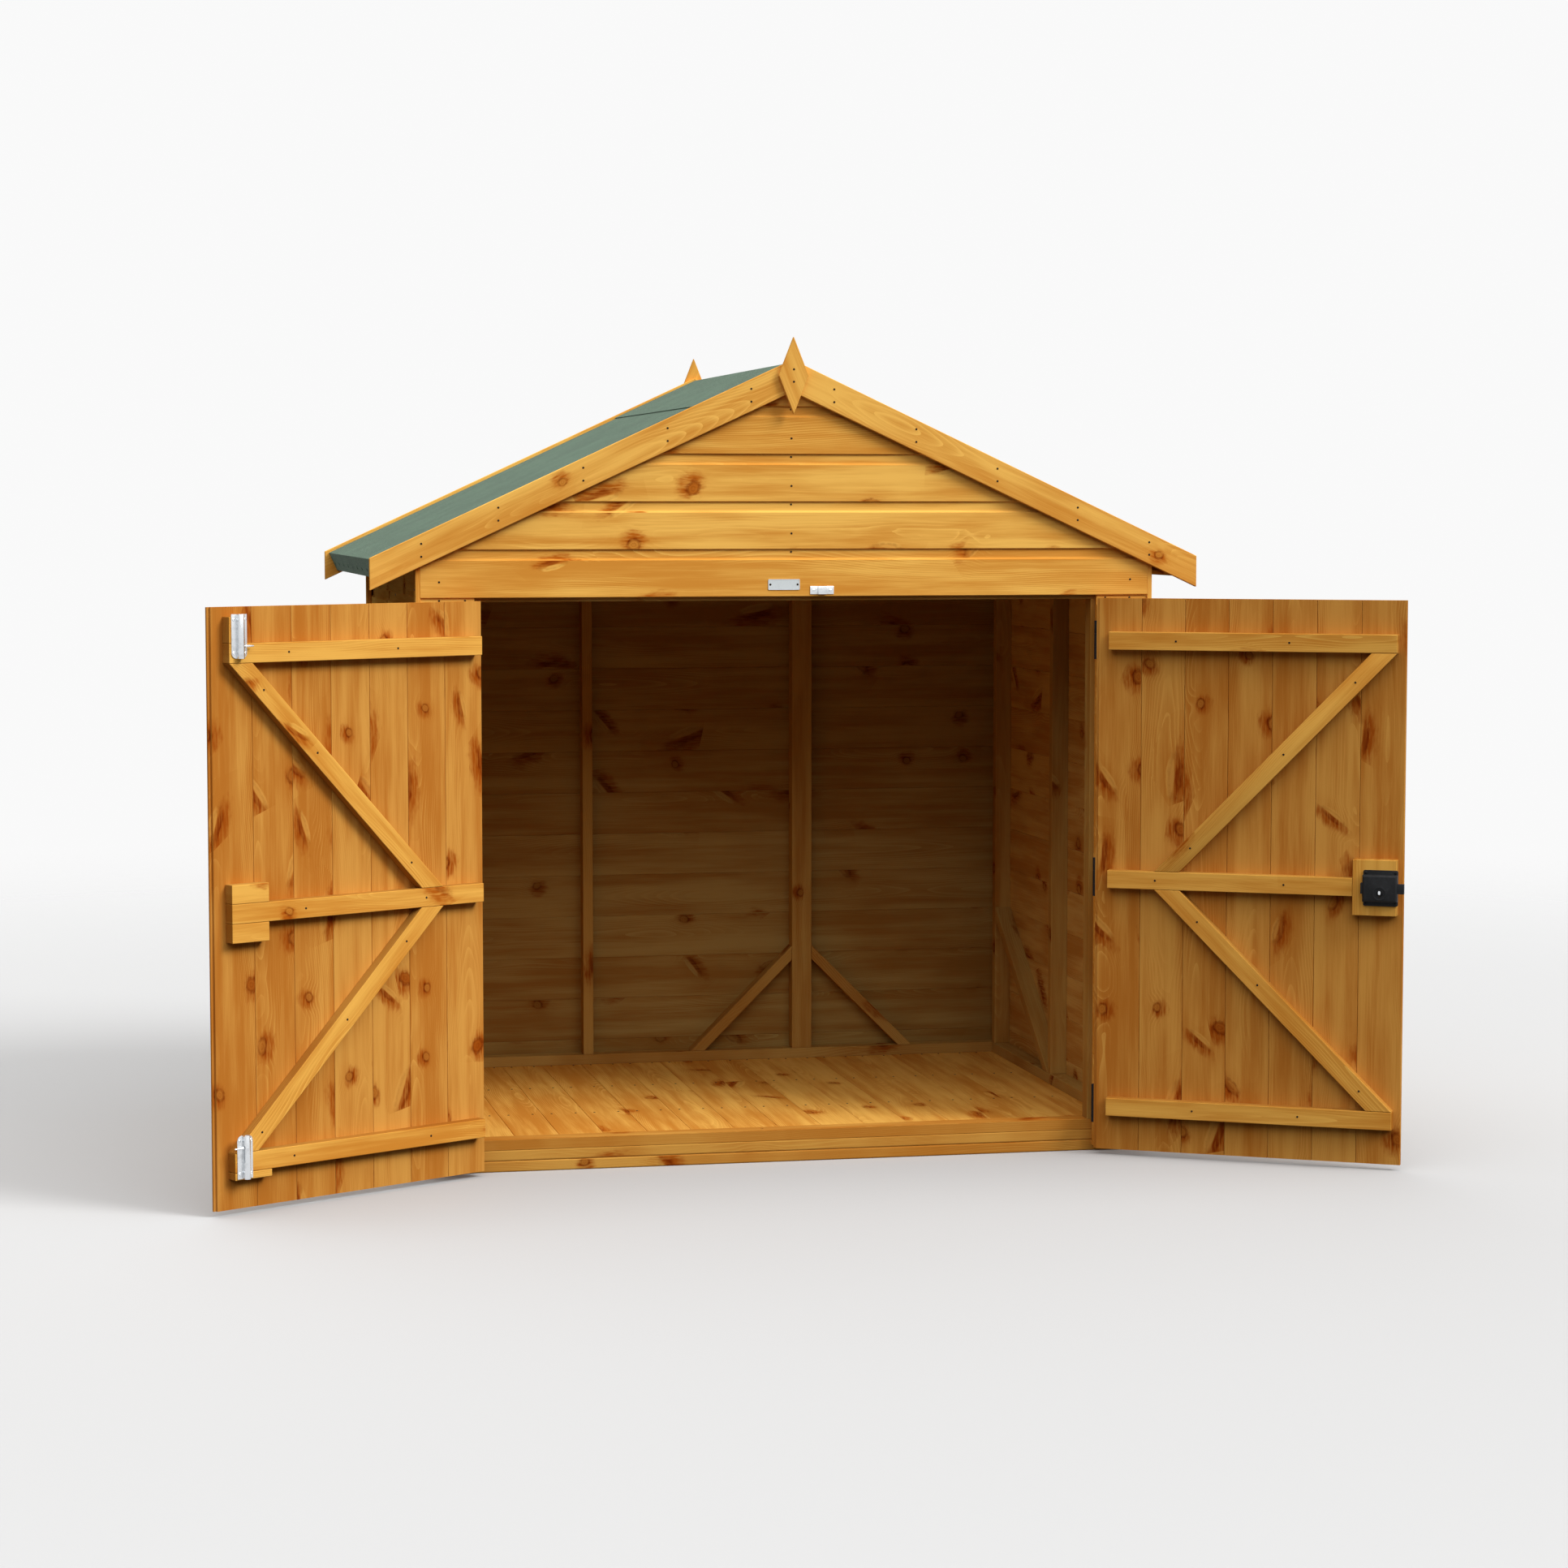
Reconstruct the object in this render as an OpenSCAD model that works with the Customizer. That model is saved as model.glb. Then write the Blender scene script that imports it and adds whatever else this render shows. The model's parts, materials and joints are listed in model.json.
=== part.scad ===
// Apex timber bike shed with a pair of ledged and braced doors.
// The front faces -Y, +Z is up, and the origin is on the ground at the middle of the floor.

/* [Body] */
// Width over the side cladding
body_w = 1812; // [1600:1:2100]
// Depth over the front and back cladding
body_d = 1296; // [1000:1:1800]
// Thickness of the wall cladding
clad_t = 16; // [14:0.5:20]
// Gap between the ground and the bottom of cladding and doors
ground_gap = 14; // [8:1:24]
// Rise of the side walls' outer top edge above the top of the doorway
eaves_rise = 128; // [90:1:300]
// Thickness of the corner trims
trim_t = 12; // [8:1:18]
// Width of the corner trims
trim_w = 40; // [25:1:60]

/* [Framing] */
// Face width of the framing timber
timber_w = 28; // [22:1:36]
// Depth of the framing timber
timber_d = 45; // [40:1:60]
// Height of the rail over the doorway
lintel_h = 45; // [40:1:70]
// Gap left in the joints of a nailed frame
joint_gap = 0.3; // [0.2:0.05:0.6]
// Gap between the layers of the roof
layer_gap = 0.2; // [0.1:0.05:0.4]
// Place of the back wall's single stud, as a share of the half width
single_stud_share = -0.355; // [-0.5:0.005:-0.2]
// Place of the back wall's double stud, as a share of the half width
double_stud_share = 0.327; // [0.2:0.001:0.5]
// Reach of the back wall's braces along the floor
brace_reach = 290; // [200:1:360]
// Rise of the side walls' braces from the middle stud to the back stud
side_brace_rise = 390; // [200:1:600]

/* [Floor] */
// Height of the ground bearers
bearer_h = 27; // [20:1:40]
// Width of the ground bearers and joists
bearer_w = 45; // [35:1:60]
// Height of the floor joists
joist_h = 27; // [20:1:40]
// Thickness of the floor boards
floor_t = 12; // [9:1:16]
// Height of the door sill
sill_h = 25; // [20:1:30]
// Depth of the door sill
sill_d = 55; // [46:1:75]

/* [Roof] */
// Slope of the roof in degrees
roof_pitch = 24.9; // [20:0.1:30]
// Overhang of the roof deck past the side cladding
eaves_overhang = 108; // [80:1:160]
// Thickness of the roof boards
deck_t = 12; // [9:1:16]
// Thickness of the roofing felt
felt_t = 2.5; // [1.5:0.1:4]
// Half width of the felt strip over the ridge
ridge_strip_w = 250; // [150:1:350]
// Depth of the roof battens under the deck
batten_h = 38; // [30:1:45]
// Overhang of the roof past each gable
gable_overhang = 4; // [2:1:12]
// Width of the bargeboards
barge_w = 70; // [65:1:90]
// Thickness of the bargeboards
barge_t = 13; // [10:0.5:18]
// How far the bargeboards stand above the felt
barge_rise = 8; // [6:0.5:14]
// How far the bargeboards run past the felt at the eaves
barge_past = 11; // [4:1:20]
// Width of the finials
finial_w = 74; // [50:1:100]
// Height of the finials
finial_h = 187; // [140:1:240]
// Thickness of the finials
finial_t = 12; // [8:1:18]
// How far the finials rise above the ridge of the bargeboards
finial_rise = 55; // [30:1:90]

/* [Doorway] */
// Width of the cladding beside the doorway
jamb_w = 130; // [100:1:220]
// Height of the doors
door_h = 1376; // [1150:1:1700]
// Thickness of the door boards
door_t = 15; // [12:0.5:16]
// Gap between a door and the cladding beside it
side_gap = 6; // [5:0.5:9]
// Gap between the two doors
meet_gap = 6; // [5:0.5:10]
// Gap over the doors
head_gap = 7; // [5:0.5:12]
// Gap between the shut doors and the framing behind them
back_gap = 5; // [5:0.5:7]
// How far the rail over the doorway hangs below the door tops
head_lap = 3; // [1:0.5:6]
// How far the door posts stand into the doorway
post_lap = 12; // [8:0.5:16]
// How far the doors stand open in degrees
door_open = 150; // [90:1:175]

/* [Ledges and braces] */
// Height of the door ledges
ledge_h = 45; // [38:1:60]
// Thickness of the ledges, braces and blocks
ledge_t = 28; // [25:0.5:32]
// Inset of the ledges at their left end, seen from inside
ledge_left_inset = 38; // [30:1:44]
// Inset of the ledges at their right end, seen from inside
ledge_right_inset = 18; // [15:1:30]
// Height of the bottom ledge above the door's lower edge
bottom_ledge_z = 88; // [87:1:110]
// How far the middle ledge sits below the middle of the door
middle_ledge_drop = 7.5; // [-20:0.5:30]
// Distance from the door's upper edge down to the bottom of the top ledge
top_ledge_drop = 127; // [126:1:140]
// Face width of the door braces
brace_w = 45; // [35:1:55]
// Distance from the ledges' hinge end to the foot of the braces
brace_foot = 119; // [80:1:160]

/* [Blocks] */
// Width of the blocks beside the middle and bottom ledges
pad_w = 100; // [80:1:120]
// Height of the two blocks beside the middle ledge
pad_h = 44; // [30:1:60]
// Width of the block under the top bolt
bolt_block_w = 48; // [46:1:70]
// Height of the block under the top bolt
bolt_block_h = 60; // [50:1:64]
// Height of the block under the bottom ledge
foot_block_h = 17; // [10:1:17]
// Width of the lock block
lock_block_w = 107; // [100:1:120]
// Height of the lock block
lock_block_h = 137; // [110:1:150]
// Inset of the lock block from the door's free edge
lock_block_inset = 13; // [8:1:16]

/* [Hinges] */
// Radius of the hinge pins
pin_r = 3; // [2.5:0.1:3.5]
// Running clearance of the hinge pins
pin_clear = 0.05; // [0.02:0.01:0.09]
// Outer radius of the hinge knuckles
knuckle_r = 6.5; // [5.5:0.1:6.6]
// Distance from the door's outer face to the hinge axis
hinge_standoff = 7; // [6.8:0.1:8]
// Thickness of the hinge plates
hinge_plate_t = 3; // [2:0.1:4]
// Height of the hinge plates on the wall
hinge_plate_h = 96; // [80:1:120]
// Width of the hinge plates on the wall
hinge_plate_w = 44; // [30:1:56]
// Length of the hinge straps on the doors
strap_l = 300; // [200:1:400]
// Height of the hinge straps at their tip
strap_tip_h = 22; // [16:1:28]

/* [Bolts and lock] */
// Radius of the bolt rods
rod_r = 5; // [4:0.1:6]
// Running clearance of the bolt rods
rod_clear = 0.08; // [0.02:0.01:0.09]
// Width of the bolts' back plates
bolt_plate_w = 41; // [34:1:44]
// Length of the bolts' back plates
bolt_plate_l = 100; // [90:1:104]
// Thickness of the bolts' back plates
bolt_plate_t = 2.5; // [2:0.1:3.5]
// Travel of the bolts
bolt_throw = 30; // [20:1:32]
// Width of the lock case
lock_w = 84; // [70:1:90]
// Height of the lock case
lock_h = 87; // [70:1:100]
// Depth of the lock case
lock_d = 22; // [20:0.5:28]
// Height of the lock bolt's head
lock_bolt_h = 24; // [18:1:30]
// How far the lock bolt stands out of its case when drawn back
lock_bolt_out = 16; // [8:1:20]
// Travel of the lock bolt
lock_throw = 45; // [30:1:50]

/* [Hidden] */
// Facets on round faces
$fn = 48;
// Overrun of the cuts past the faces that they open
over = 1;

// Walls and levels
half_w = body_w / 2;
half_d = body_d / 2;
frame_x = half_w - clad_t;
frame_y = half_d - clad_t;
inner_x = frame_x - timber_d;
inner_y = frame_y - timber_d;
corner_stud_x = frame_x - timber_w / 2;
single_stud_x = frame_x * single_stud_share;
double_stud_x = frame_x * double_stud_share;
joist_z = bearer_h;
board_z = joist_z + joist_h;
floor_z = board_z + floor_t;
sill_top = board_z + sill_h;
wall_low = ground_gap;

// Roof layers, as depths square to the slope below the bargeboards' top line
felt_depth = barge_rise;
deck_depth = felt_depth + felt_t;
under_depth = deck_depth + deck_t;
seat_depth = under_depth + layer_gap;
batten_depth = under_depth + batten_h;
eaves_z = ground_gap + door_h + head_gap + eaves_rise;
ridge_z = eaves_z + half_w * tan(roof_pitch) + under_depth / cos(roof_pitch);
slope_l = (half_w + eaves_overhang + deck_depth * sin(roof_pitch)) / cos(roof_pitch);
deck_half_l = half_d + gable_overhang;
barge_x = (slope_l + felt_t) * cos(roof_pitch) - felt_depth * sin(roof_pitch) + barge_past;
ridge_batten_s = 30;

// Doorway and door leaves
jamb_x = half_w - jamb_w;
door_low = ground_gap;
door_top = door_low + door_h;
head_z = door_top + head_gap;
lintel_z = door_top - head_lap;
post_x = jamb_x - post_lap;
hinge_edge_x = jamb_x - side_gap;
leaf_w = hinge_edge_x - meet_gap / 2;
leaf_y = -frame_y - back_gap;
leaf_face_y = leaf_y - door_t;
pivot_x = jamb_x - side_gap / 2;
pivot_y = leaf_face_y - hinge_standoff;
middle_ledge_z = (door_h - ledge_h) / 2 - middle_ledge_drop;
top_ledge_z = door_h - top_ledge_drop;
ledge_zs = [bottom_ledge_z, middle_ledge_z, top_ledge_z];

// Hinges
knuckle_h = hinge_plate_h / 3;
knuckle_gap = 0.3;
plate_inset = 5;

// Bolts, in the frame of a back plate whose lower edge is at zero
guide_wall = 3;
staple_r = rod_r + guide_wall;
rod_v = staple_r;
tail_r = 13;
rod_inset = 2;
knob_r = 2.2;
knob_neck_l = 10;
knob_wide_r = 3.7;
knob_tip_r = 1.6;
knob_l = 33;
knob_gap = 1;
knob_z = 28;
slot_half = knob_r + knob_gap;
bolt_side_gap = 5;
bolt_u = leaf_w - ledge_left_inset - bolt_side_gap - bolt_plate_w / 2;
bolt_head_gap = 16;
top_bolt_z = door_h - bolt_head_gap;
foot_plate_rise = 3;
bottom_bolt_z = bottom_ledge_z - foot_block_h + foot_plate_rise;
bolt_v = ledge_t + bolt_plate_t + rod_v;
keep_hole_clear = 1.5;
keep_hole_r = rod_r + keep_hole_clear;
keep_hole_depth = bolt_throw;

// Lock
lock_past = 4;
lock_inset = lock_block_inset - lock_past;
lock_z = middle_ledge_z + ledge_h / 2;
lock_wall = 2;
lock_chamfer = 4;
lock_plate_t = 4;
lock_corner_r = 4;
lock_tab_h = 11;
lock_lug_l = 5;
lock_lug_h = 26;
escutcheon_r = 17;
escutcheon_t = 1;
escutcheon_drop = 12;
lock_bolt_t = 12;
lock_bolt_gap = 0.3;
lock_bolt_rise = 5;
lock_bolt_tail = 58;

// Keep on the rail over the doorway
keep_x = 76;
keep_l = 59;
keep_h = 20;
keep_t = 2;
keep_loop_w = 22;
keep_loop_out = 9;
keep_rise = 5;

// Colours
stained_pine = "#c98f45";
pale_pine = "#dcae6a";
shaded_pine = "#b5823f";
roof_green = "#6f7a66";
black_iron = "#26272a";
bright_zinc = "#a9adb0";

// Box between two opposite corners
module slab(low, high) {
    translate(low) cube(high - low);
}

// Outline in X and Z, drawn out along Y from y0 to y1
module drawn_y(points, y0, y1) {
    translate([0, y1, 0])
        rotate([90, 0, 0])
            linear_extrude(height = y1 - y0)
                polygon(points);
}

// Outline in Y and Z, drawn out along X from x0 to x1
module drawn_x(points, x0, x1) {
    translate([x0, 0, 0])
        rotate([90, 0, 90])
            linear_extrude(height = x1 - x0)
                polygon(points);
}

// Its children and their mirror image across the shed's middle
module both_sides() {
    children();
    mirror([1, 0, 0]) children();
}

// Height of a roof layer above a place x, from the layer's depth under the top line
function roof_z(depth, x) = ridge_z - depth / cos(roof_pitch) - abs(x) * tan(roof_pitch);

// Point on the right slope, from its distance down the slope and its depth
function slope_pt(s, depth) = [
    s * cos(roof_pitch) - depth * sin(roof_pitch),
    ridge_z - s * sin(roof_pitch) - depth * cos(roof_pitch)
];

// Distance down the slope at which a layer meets the shed's middle plane
function ridge_s(depth) = depth * tan(roof_pitch);

// Floor
module floor_bearers() {
    color(shaded_pine) {
        for (y = [-frame_y, frame_y - bearer_w])
            slab([-frame_x, y, 0], [frame_x, y + bearer_w, bearer_h]);
        cross_y = frame_y - bearer_w - joint_gap;
        for (x = [-frame_x, -bearer_w / 2, frame_x - bearer_w])
            slab([x, -cross_y, 0], [x + bearer_w, cross_y, bearer_h]);
    }
}

module floor_joists() {
    joist_count = 4;
    pitch_y = (2 * frame_y - bearer_w) / (joist_count - 1);
    color(shaded_pine)
        for (i = [0:joist_count - 1])
            slab([-frame_x, -frame_y + i * pitch_y, joist_z],
                 [frame_x, -frame_y + i * pitch_y + bearer_w, board_z]);
}

module floor_boards() {
    color(pale_pine)
        slab([-frame_x, -frame_y + sill_d, board_z], [frame_x, frame_y, floor_z]);
}

module front_sill() {
    color(stained_pine)
        difference() {
            slab([-frame_x, -frame_y, board_z], [frame_x, -frame_y + sill_d, sill_top]);
            shut_bolt_hole(sill_top - keep_hole_depth);
        }
}

// Hole for a bolt rod where the rod stands when the left door is shut
module shut_bolt_hole(z) {
    translate([-hinge_edge_x + bolt_u, leaf_y + bolt_v, z])
        cylinder(h = keep_hole_depth + over, r = keep_hole_r);
}

// Front frame and cladding
module front_posts() {
    color(pale_pine)
        both_sides()
            for (x = [post_x, frame_x - timber_w])
                slab([x, -frame_y, sill_top], [x + timber_w, -inner_y, lintel_z]);
}

module front_lintel() {
    color(pale_pine)
        difference() {
            slab([-frame_x, -frame_y, lintel_z], [frame_x, -inner_y, lintel_z + lintel_h]);
            shut_bolt_hole(lintel_z - over);
        }
}

module front_gable_frame() {
    color(pale_pine)
        gable_timbers(-frame_y, -inner_y, lintel_z + lintel_h, [-corner_stud_x, 0, corner_stud_x]);
}

// Sloping rails of a gable and the studs that carry them, from a level up
module gable_timbers(y0, y1, low_z, stud_xs) {
    rail_depth = under_depth + timber_w;
    stud_depth = rail_depth + joint_gap;
    both_sides()
        drawn_y([
            [joint_gap / 2, roof_z(seat_depth, joint_gap / 2)],
            [frame_x, roof_z(seat_depth, frame_x)],
            [frame_x, roof_z(rail_depth, frame_x)],
            [joint_gap / 2, roof_z(rail_depth, joint_gap / 2)]
        ], y0, y1);
    for (x = stud_xs)
        stud_under_roof(x - timber_w / 2, x + timber_w / 2, y0, y1, low_z, stud_depth);
}

// Upright whose top is cut to a roof layer
module stud_under_roof(x0, x1, y0, y1, low_z, depth) {
    middle = x0 < 0 && x1 > 0 ? [[0, roof_z(depth, 0)]] : [];
    drawn_y(concat(
        [[x0, low_z], [x1, low_z], [x1, roof_z(depth, x1)]],
        middle,
        [[x0, roof_z(depth, x0)]]
    ), y0, y1);
}

module front_wall_left() {
    color(stained_pine) mirror([1, 0, 0]) front_strip();
}

module front_wall_right() {
    color(stained_pine) front_strip();
}

module front_strip() {
    slab([jamb_x, -half_d, wall_low], [half_w, -frame_y, head_z]);
}

module front_gable() {
    color(stained_pine) gable_sheet(-half_d, -frame_y, head_z);
}

// Gable cladding from a level up to the roof boards
module gable_sheet(y0, y1, low_z) {
    drawn_y([
        [-half_w, low_z],
        [half_w, low_z],
        [half_w, roof_z(seat_depth, half_w)],
        [0, roof_z(seat_depth, 0)],
        [-half_w, roof_z(seat_depth, half_w)]
    ], y0, y1);
}

// Back wall
module back_wall() {
    color(stained_pine) gable_sheet(frame_y, half_d, wall_low);
}

module back_wall_frame() {
    rail_top = floor_z + timber_w;
    stud_low = rail_top + joint_gap;
    double_w = 2 * timber_w;
    color(pale_pine) {
        slab([-frame_x, inner_y, floor_z], [frame_x, frame_y, rail_top]);
        gable_timbers(inner_y, frame_y, stud_low, [-corner_stud_x, single_stud_x, corner_stud_x]);
        stud_under_roof(double_stud_x - timber_w, double_stud_x + timber_w, inner_y, frame_y,
                        stud_low, under_depth + timber_w + joint_gap);
        for (side = [-1, 1])
            drawn_y(foot_brace(double_stud_x, side, double_w / 2 + joint_gap, stud_low),
                    inner_y, frame_y);
    }
}

// Outline of a brace that leans on a stud and stands on a rail
function foot_brace(stud, side, clear, low_z) = [
    [stud + side * clear, low_z + brace_reach],
    [stud + side * clear, low_z + brace_reach - timber_w * sqrt(2)],
    [stud + side * (clear + brace_reach - timber_w * sqrt(2)), low_z],
    [stud + side * (clear + brace_reach), low_z]
];

// Side walls
module right_wall() {
    color(stained_pine) side_sheet();
}

module left_wall() {
    color(stained_pine) mirror([1, 0, 0]) side_sheet();
}

module side_sheet() {
    drawn_y([
        [frame_x, wall_low],
        [half_w, wall_low],
        [half_w, roof_z(seat_depth, half_w)],
        [frame_x, roof_z(seat_depth, frame_x)]
    ], -frame_y, frame_y);
}

module right_wall_frame() {
    color(pale_pine) side_frame();
}

module left_wall_frame() {
    color(pale_pine) mirror([1, 0, 0]) side_frame();
}

// Rails, studs and brace of a side wall, between the front and back frames
module side_frame() {
    rail_top = floor_z + timber_w;
    stud_low = rail_top + joint_gap;
    top_z = roof_z(under_depth, frame_x) - timber_w;
    stud_top = top_z - joint_gap;
    front_y = -frame_y + sill_d;
    slab([inner_x, front_y, floor_z], [frame_x, inner_y, rail_top]);
    drawn_y([
        [inner_x, top_z],
        [frame_x, top_z],
        [frame_x, roof_z(seat_depth, frame_x)],
        [inner_x, roof_z(seat_depth, inner_x)]
    ], -inner_y, inner_y);
    for (y = [front_y, -timber_w / 2, inner_y - timber_w])
        slab([inner_x, y, stud_low], [frame_x, y + timber_w, stud_top]);
    side_brace(timber_w / 2 + joint_gap, inner_y - timber_w - joint_gap, stud_low);
}

// Brace that rises between the faces of two studs, from the foot of the first one
module side_brace(y0, y1, low_z) {
    lean = atan2(side_brace_rise, y1 - y0);
    depth = timber_w / cos(lean);
    foot = depth / tan(lean);
    drawn_x([
        [y0 + foot, low_z],
        [y1, low_z + side_brace_rise - depth],
        [y1, low_z + side_brace_rise],
        [y0, low_z]
    ], inner_x, frame_x);
}

// Trims over the four corners
module corner_trims() {
    trim_x = half_w + trim_t;
    color(stained_pine)
        both_sides()
            for (y = [-half_d, half_d - trim_w])
                drawn_y([
                    [half_w, wall_low],
                    [trim_x, wall_low],
                    [trim_x, roof_z(seat_depth, trim_x)],
                    [half_w, roof_z(seat_depth, half_w)]
                ], y, y + trim_w);
}

// Roof
module roof_deck_right() {
    color(shaded_pine) deck_half();
}

module roof_deck_left() {
    color(shaded_pine) mirror([1, 0, 0]) deck_half();
}

module deck_half() {
    drawn_y([
        slope_pt(ridge_s(deck_depth), deck_depth),
        slope_pt(slope_l, deck_depth),
        slope_pt(slope_l, under_depth),
        slope_pt(ridge_s(under_depth), under_depth)
    ], -deck_half_l, deck_half_l);
}

module roof_battens_right() {
    color(pale_pine) batten_set();
}

module roof_battens_left() {
    color(pale_pine) mirror([1, 0, 0]) batten_set();
}

// Battens under one slope: at the ridge and half way inside the shed, and along the eaves
module batten_set() {
    roof_batten(ridge_batten_s, inner_y);
    roof_batten(slope_l / 2, inner_y);
    roof_batten(slope_l - timber_w, deck_half_l);
}

module roof_batten(s, half_l) {
    drawn_y([
        slope_pt(s, seat_depth),
        slope_pt(s + timber_w, seat_depth),
        slope_pt(s + timber_w, batten_depth),
        slope_pt(s, batten_depth)
    ], -half_l, half_l);
}

module roof_felt_right() {
    color(roof_green) felt_half();
}

module roof_felt_left() {
    color(roof_green) mirror([1, 0, 0]) felt_half();
}

// Felt over one slope, turned down over the square edge of the eaves
module felt_half() {
    low_depth = deck_depth - layer_gap;
    turn_s = slope_l + layer_gap;
    drawn_y([
        slope_pt(ridge_s(felt_depth), felt_depth),
        slope_pt(slope_l + felt_t, felt_depth),
        slope_pt(slope_l + felt_t, batten_depth),
        slope_pt(turn_s, batten_depth),
        slope_pt(turn_s, low_depth),
        slope_pt(ridge_s(low_depth), low_depth)
    ], -deck_half_l, deck_half_l);
}

module felt_ridge_strip() {
    top_depth = felt_depth - felt_t;
    low_depth = felt_depth - layer_gap;
    right = [
        slope_pt(ridge_strip_w, top_depth),
        slope_pt(ridge_strip_w, low_depth)
    ];
    color(roof_green)
        drawn_y([
            [0, roof_z(top_depth, 0)],
            right[0],
            right[1],
            [0, roof_z(low_depth, 0)],
            [-right[1][0], right[1][1]],
            [-right[0][0], right[0][1]]
        ], -deck_half_l, deck_half_l);
}

module front_bargeboards() {
    color(stained_pine) barge_pair(-deck_half_l - barge_t);
}

module back_bargeboards() {
    color(stained_pine) barge_pair(deck_half_l);
}

// Two bargeboards with plumb cuts, against one end of the roof
module barge_pair(y) {
    both_sides()
        drawn_y([
            [joint_gap / 2, roof_z(0, joint_gap / 2)],
            [barge_x, roof_z(0, barge_x)],
            [barge_x, roof_z(barge_w, barge_x)],
            [joint_gap / 2, roof_z(barge_w, joint_gap / 2)]
        ], y, y + barge_t);
}

// Diamond finials over the joints of the bargeboards
module finials() {
    out_y = deck_half_l + barge_t;
    color(stained_pine)
        for (y = [-out_y - finial_t, out_y])
            finial(y);
}

module finial(y) {
    top_z = ridge_z + finial_rise;
    drawn_y([
        [0, top_z],
        [finial_w / 2, top_z - finial_h / 2],
        [0, top_z - finial_h],
        [-finial_w / 2, top_z - finial_h / 2]
    ], y, y + finial_t);
}

// Doors. A leaf is drawn with X from its hinge edge, Y inwards from its inner face and Z from its
// lower edge, as the left door; the right door is its mirror image
module left_leaf() {
    left_axis()
        translate([pivot_x - hinge_edge_x, leaf_y - pivot_y, 0])
            children();
}

// Frames on the hinge axes, turned with the doors
module left_axis() {
    translate([-pivot_x, pivot_y, door_low]) rotate([0, 0, -door_open]) children();
}

module right_axis() {
    translate([pivot_x, pivot_y, door_low]) rotate([0, 0, door_open]) children();
}

module right_leaf() {
    mirror([1, 0, 0]) left_leaf() children();
}

module leaf_boards() {
    slab([0, -door_t, 0], [leaf_w, 0, door_h]);
}

// Three ledges between two insets, the middle one stopped short by a block where there is one
module leaf_ledges(hinge_inset, free_inset, middle_free_inset) {
    insets = [free_inset, middle_free_inset, free_inset];
    for (i = [0:len(ledge_zs) - 1])
        slab([hinge_inset, 0, ledge_zs[i]], [leaf_w - insets[i], ledge_t, ledge_zs[i] + ledge_h]);
}

// Two braces that fall from the free edge to the hinge side at the middle ledge
module leaf_braces(hinge_inset, free_inset) {
    foot_u = hinge_inset + brace_foot;
    head_u = leaf_w - free_inset;
    low = ledge_zs[0] + ledge_h + joint_gap;
    middle_low = ledge_zs[1] - joint_gap;
    middle_high = ledge_zs[1] + ledge_h + joint_gap;
    high = ledge_zs[2] - joint_gap;
    door_brace(head_u, low, foot_u, middle_low);
    door_brace(head_u, high, foot_u, middle_high);
}

// Brace with level ends, from its head's outer corner to its foot's outer corner
module door_brace(head_u, head_z, foot_u, foot_z) {
    rise = abs(head_z - foot_z);
    run = head_u - foot_u;
    lean = asin(brace_w / sqrt(rise * rise + run * run)) + atan2(rise, run);
    cut = brace_w / sin(lean);
    drawn_y([
        [head_u, head_z],
        [head_u - cut, head_z],
        [foot_u, foot_z],
        [foot_u + cut, foot_z]
    ], 0, ledge_t);
}

module left_door_boards() {
    color(stained_pine) left_leaf() leaf_boards();
}

module left_door_ledges() {
    color(pale_pine)
        left_leaf() leaf_ledges(ledge_right_inset, ledge_left_inset, ledge_left_inset);
}

module left_door_braces() {
    color(pale_pine) left_leaf() leaf_braces(ledge_right_inset, ledge_left_inset);
}

// Blocks at the left door's free edge: under the top bolt, beside the middle ledge and under the
// bottom ledge
module left_door_blocks() {
    pad_u = leaf_w - ledge_left_inset;
    low_pad = middle_ledge_z - joint_gap;
    high_pad = middle_ledge_z + ledge_h + joint_gap;
    foot_pad = bottom_ledge_z - joint_gap;
    bolt_pad = top_ledge_z + ledge_h + joint_gap;
    color(pale_pine)
        left_leaf() {
            slab([pad_u - pad_w, 0, low_pad - pad_h], [pad_u, ledge_t, low_pad]);
            slab([pad_u - pad_w, 0, foot_pad - foot_block_h], [pad_u, ledge_t, foot_pad]);
            slab([pad_u - bolt_block_w, 0, bolt_pad], [pad_u, ledge_t, bolt_pad + bolt_block_h]);
            slab([pad_u - pad_w, 0, high_pad], [pad_u, ledge_t, high_pad + pad_h]);
        }
}

module right_door_boards() {
    color(stained_pine) right_leaf() leaf_boards();
}

module right_door_ledges() {
    color(pale_pine)
        right_leaf()
            leaf_ledges(ledge_left_inset, ledge_right_inset,
                        lock_block_inset + lock_block_w + joint_gap);
}

module right_door_braces() {
    color(pale_pine) right_leaf() leaf_braces(ledge_left_inset, ledge_right_inset);
}

module lock_block() {
    block_u = leaf_w - lock_block_inset;
    color(pale_pine)
        right_leaf()
            slab([block_u - lock_block_w, 0, lock_z - lock_block_h / 2],
                 [block_u, ledge_t, lock_z + lock_block_h / 2]);
}

// Hinges, one at the middle of each ledge
function hinge_zs() = [for (z = ledge_zs) z + ledge_h / 2];

module left_hinge_plates() {
    color(black_iron) wall_plates();
}

module right_hinge_plates() {
    color(black_iron) mirror([1, 0, 0]) wall_plates();
}

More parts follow.
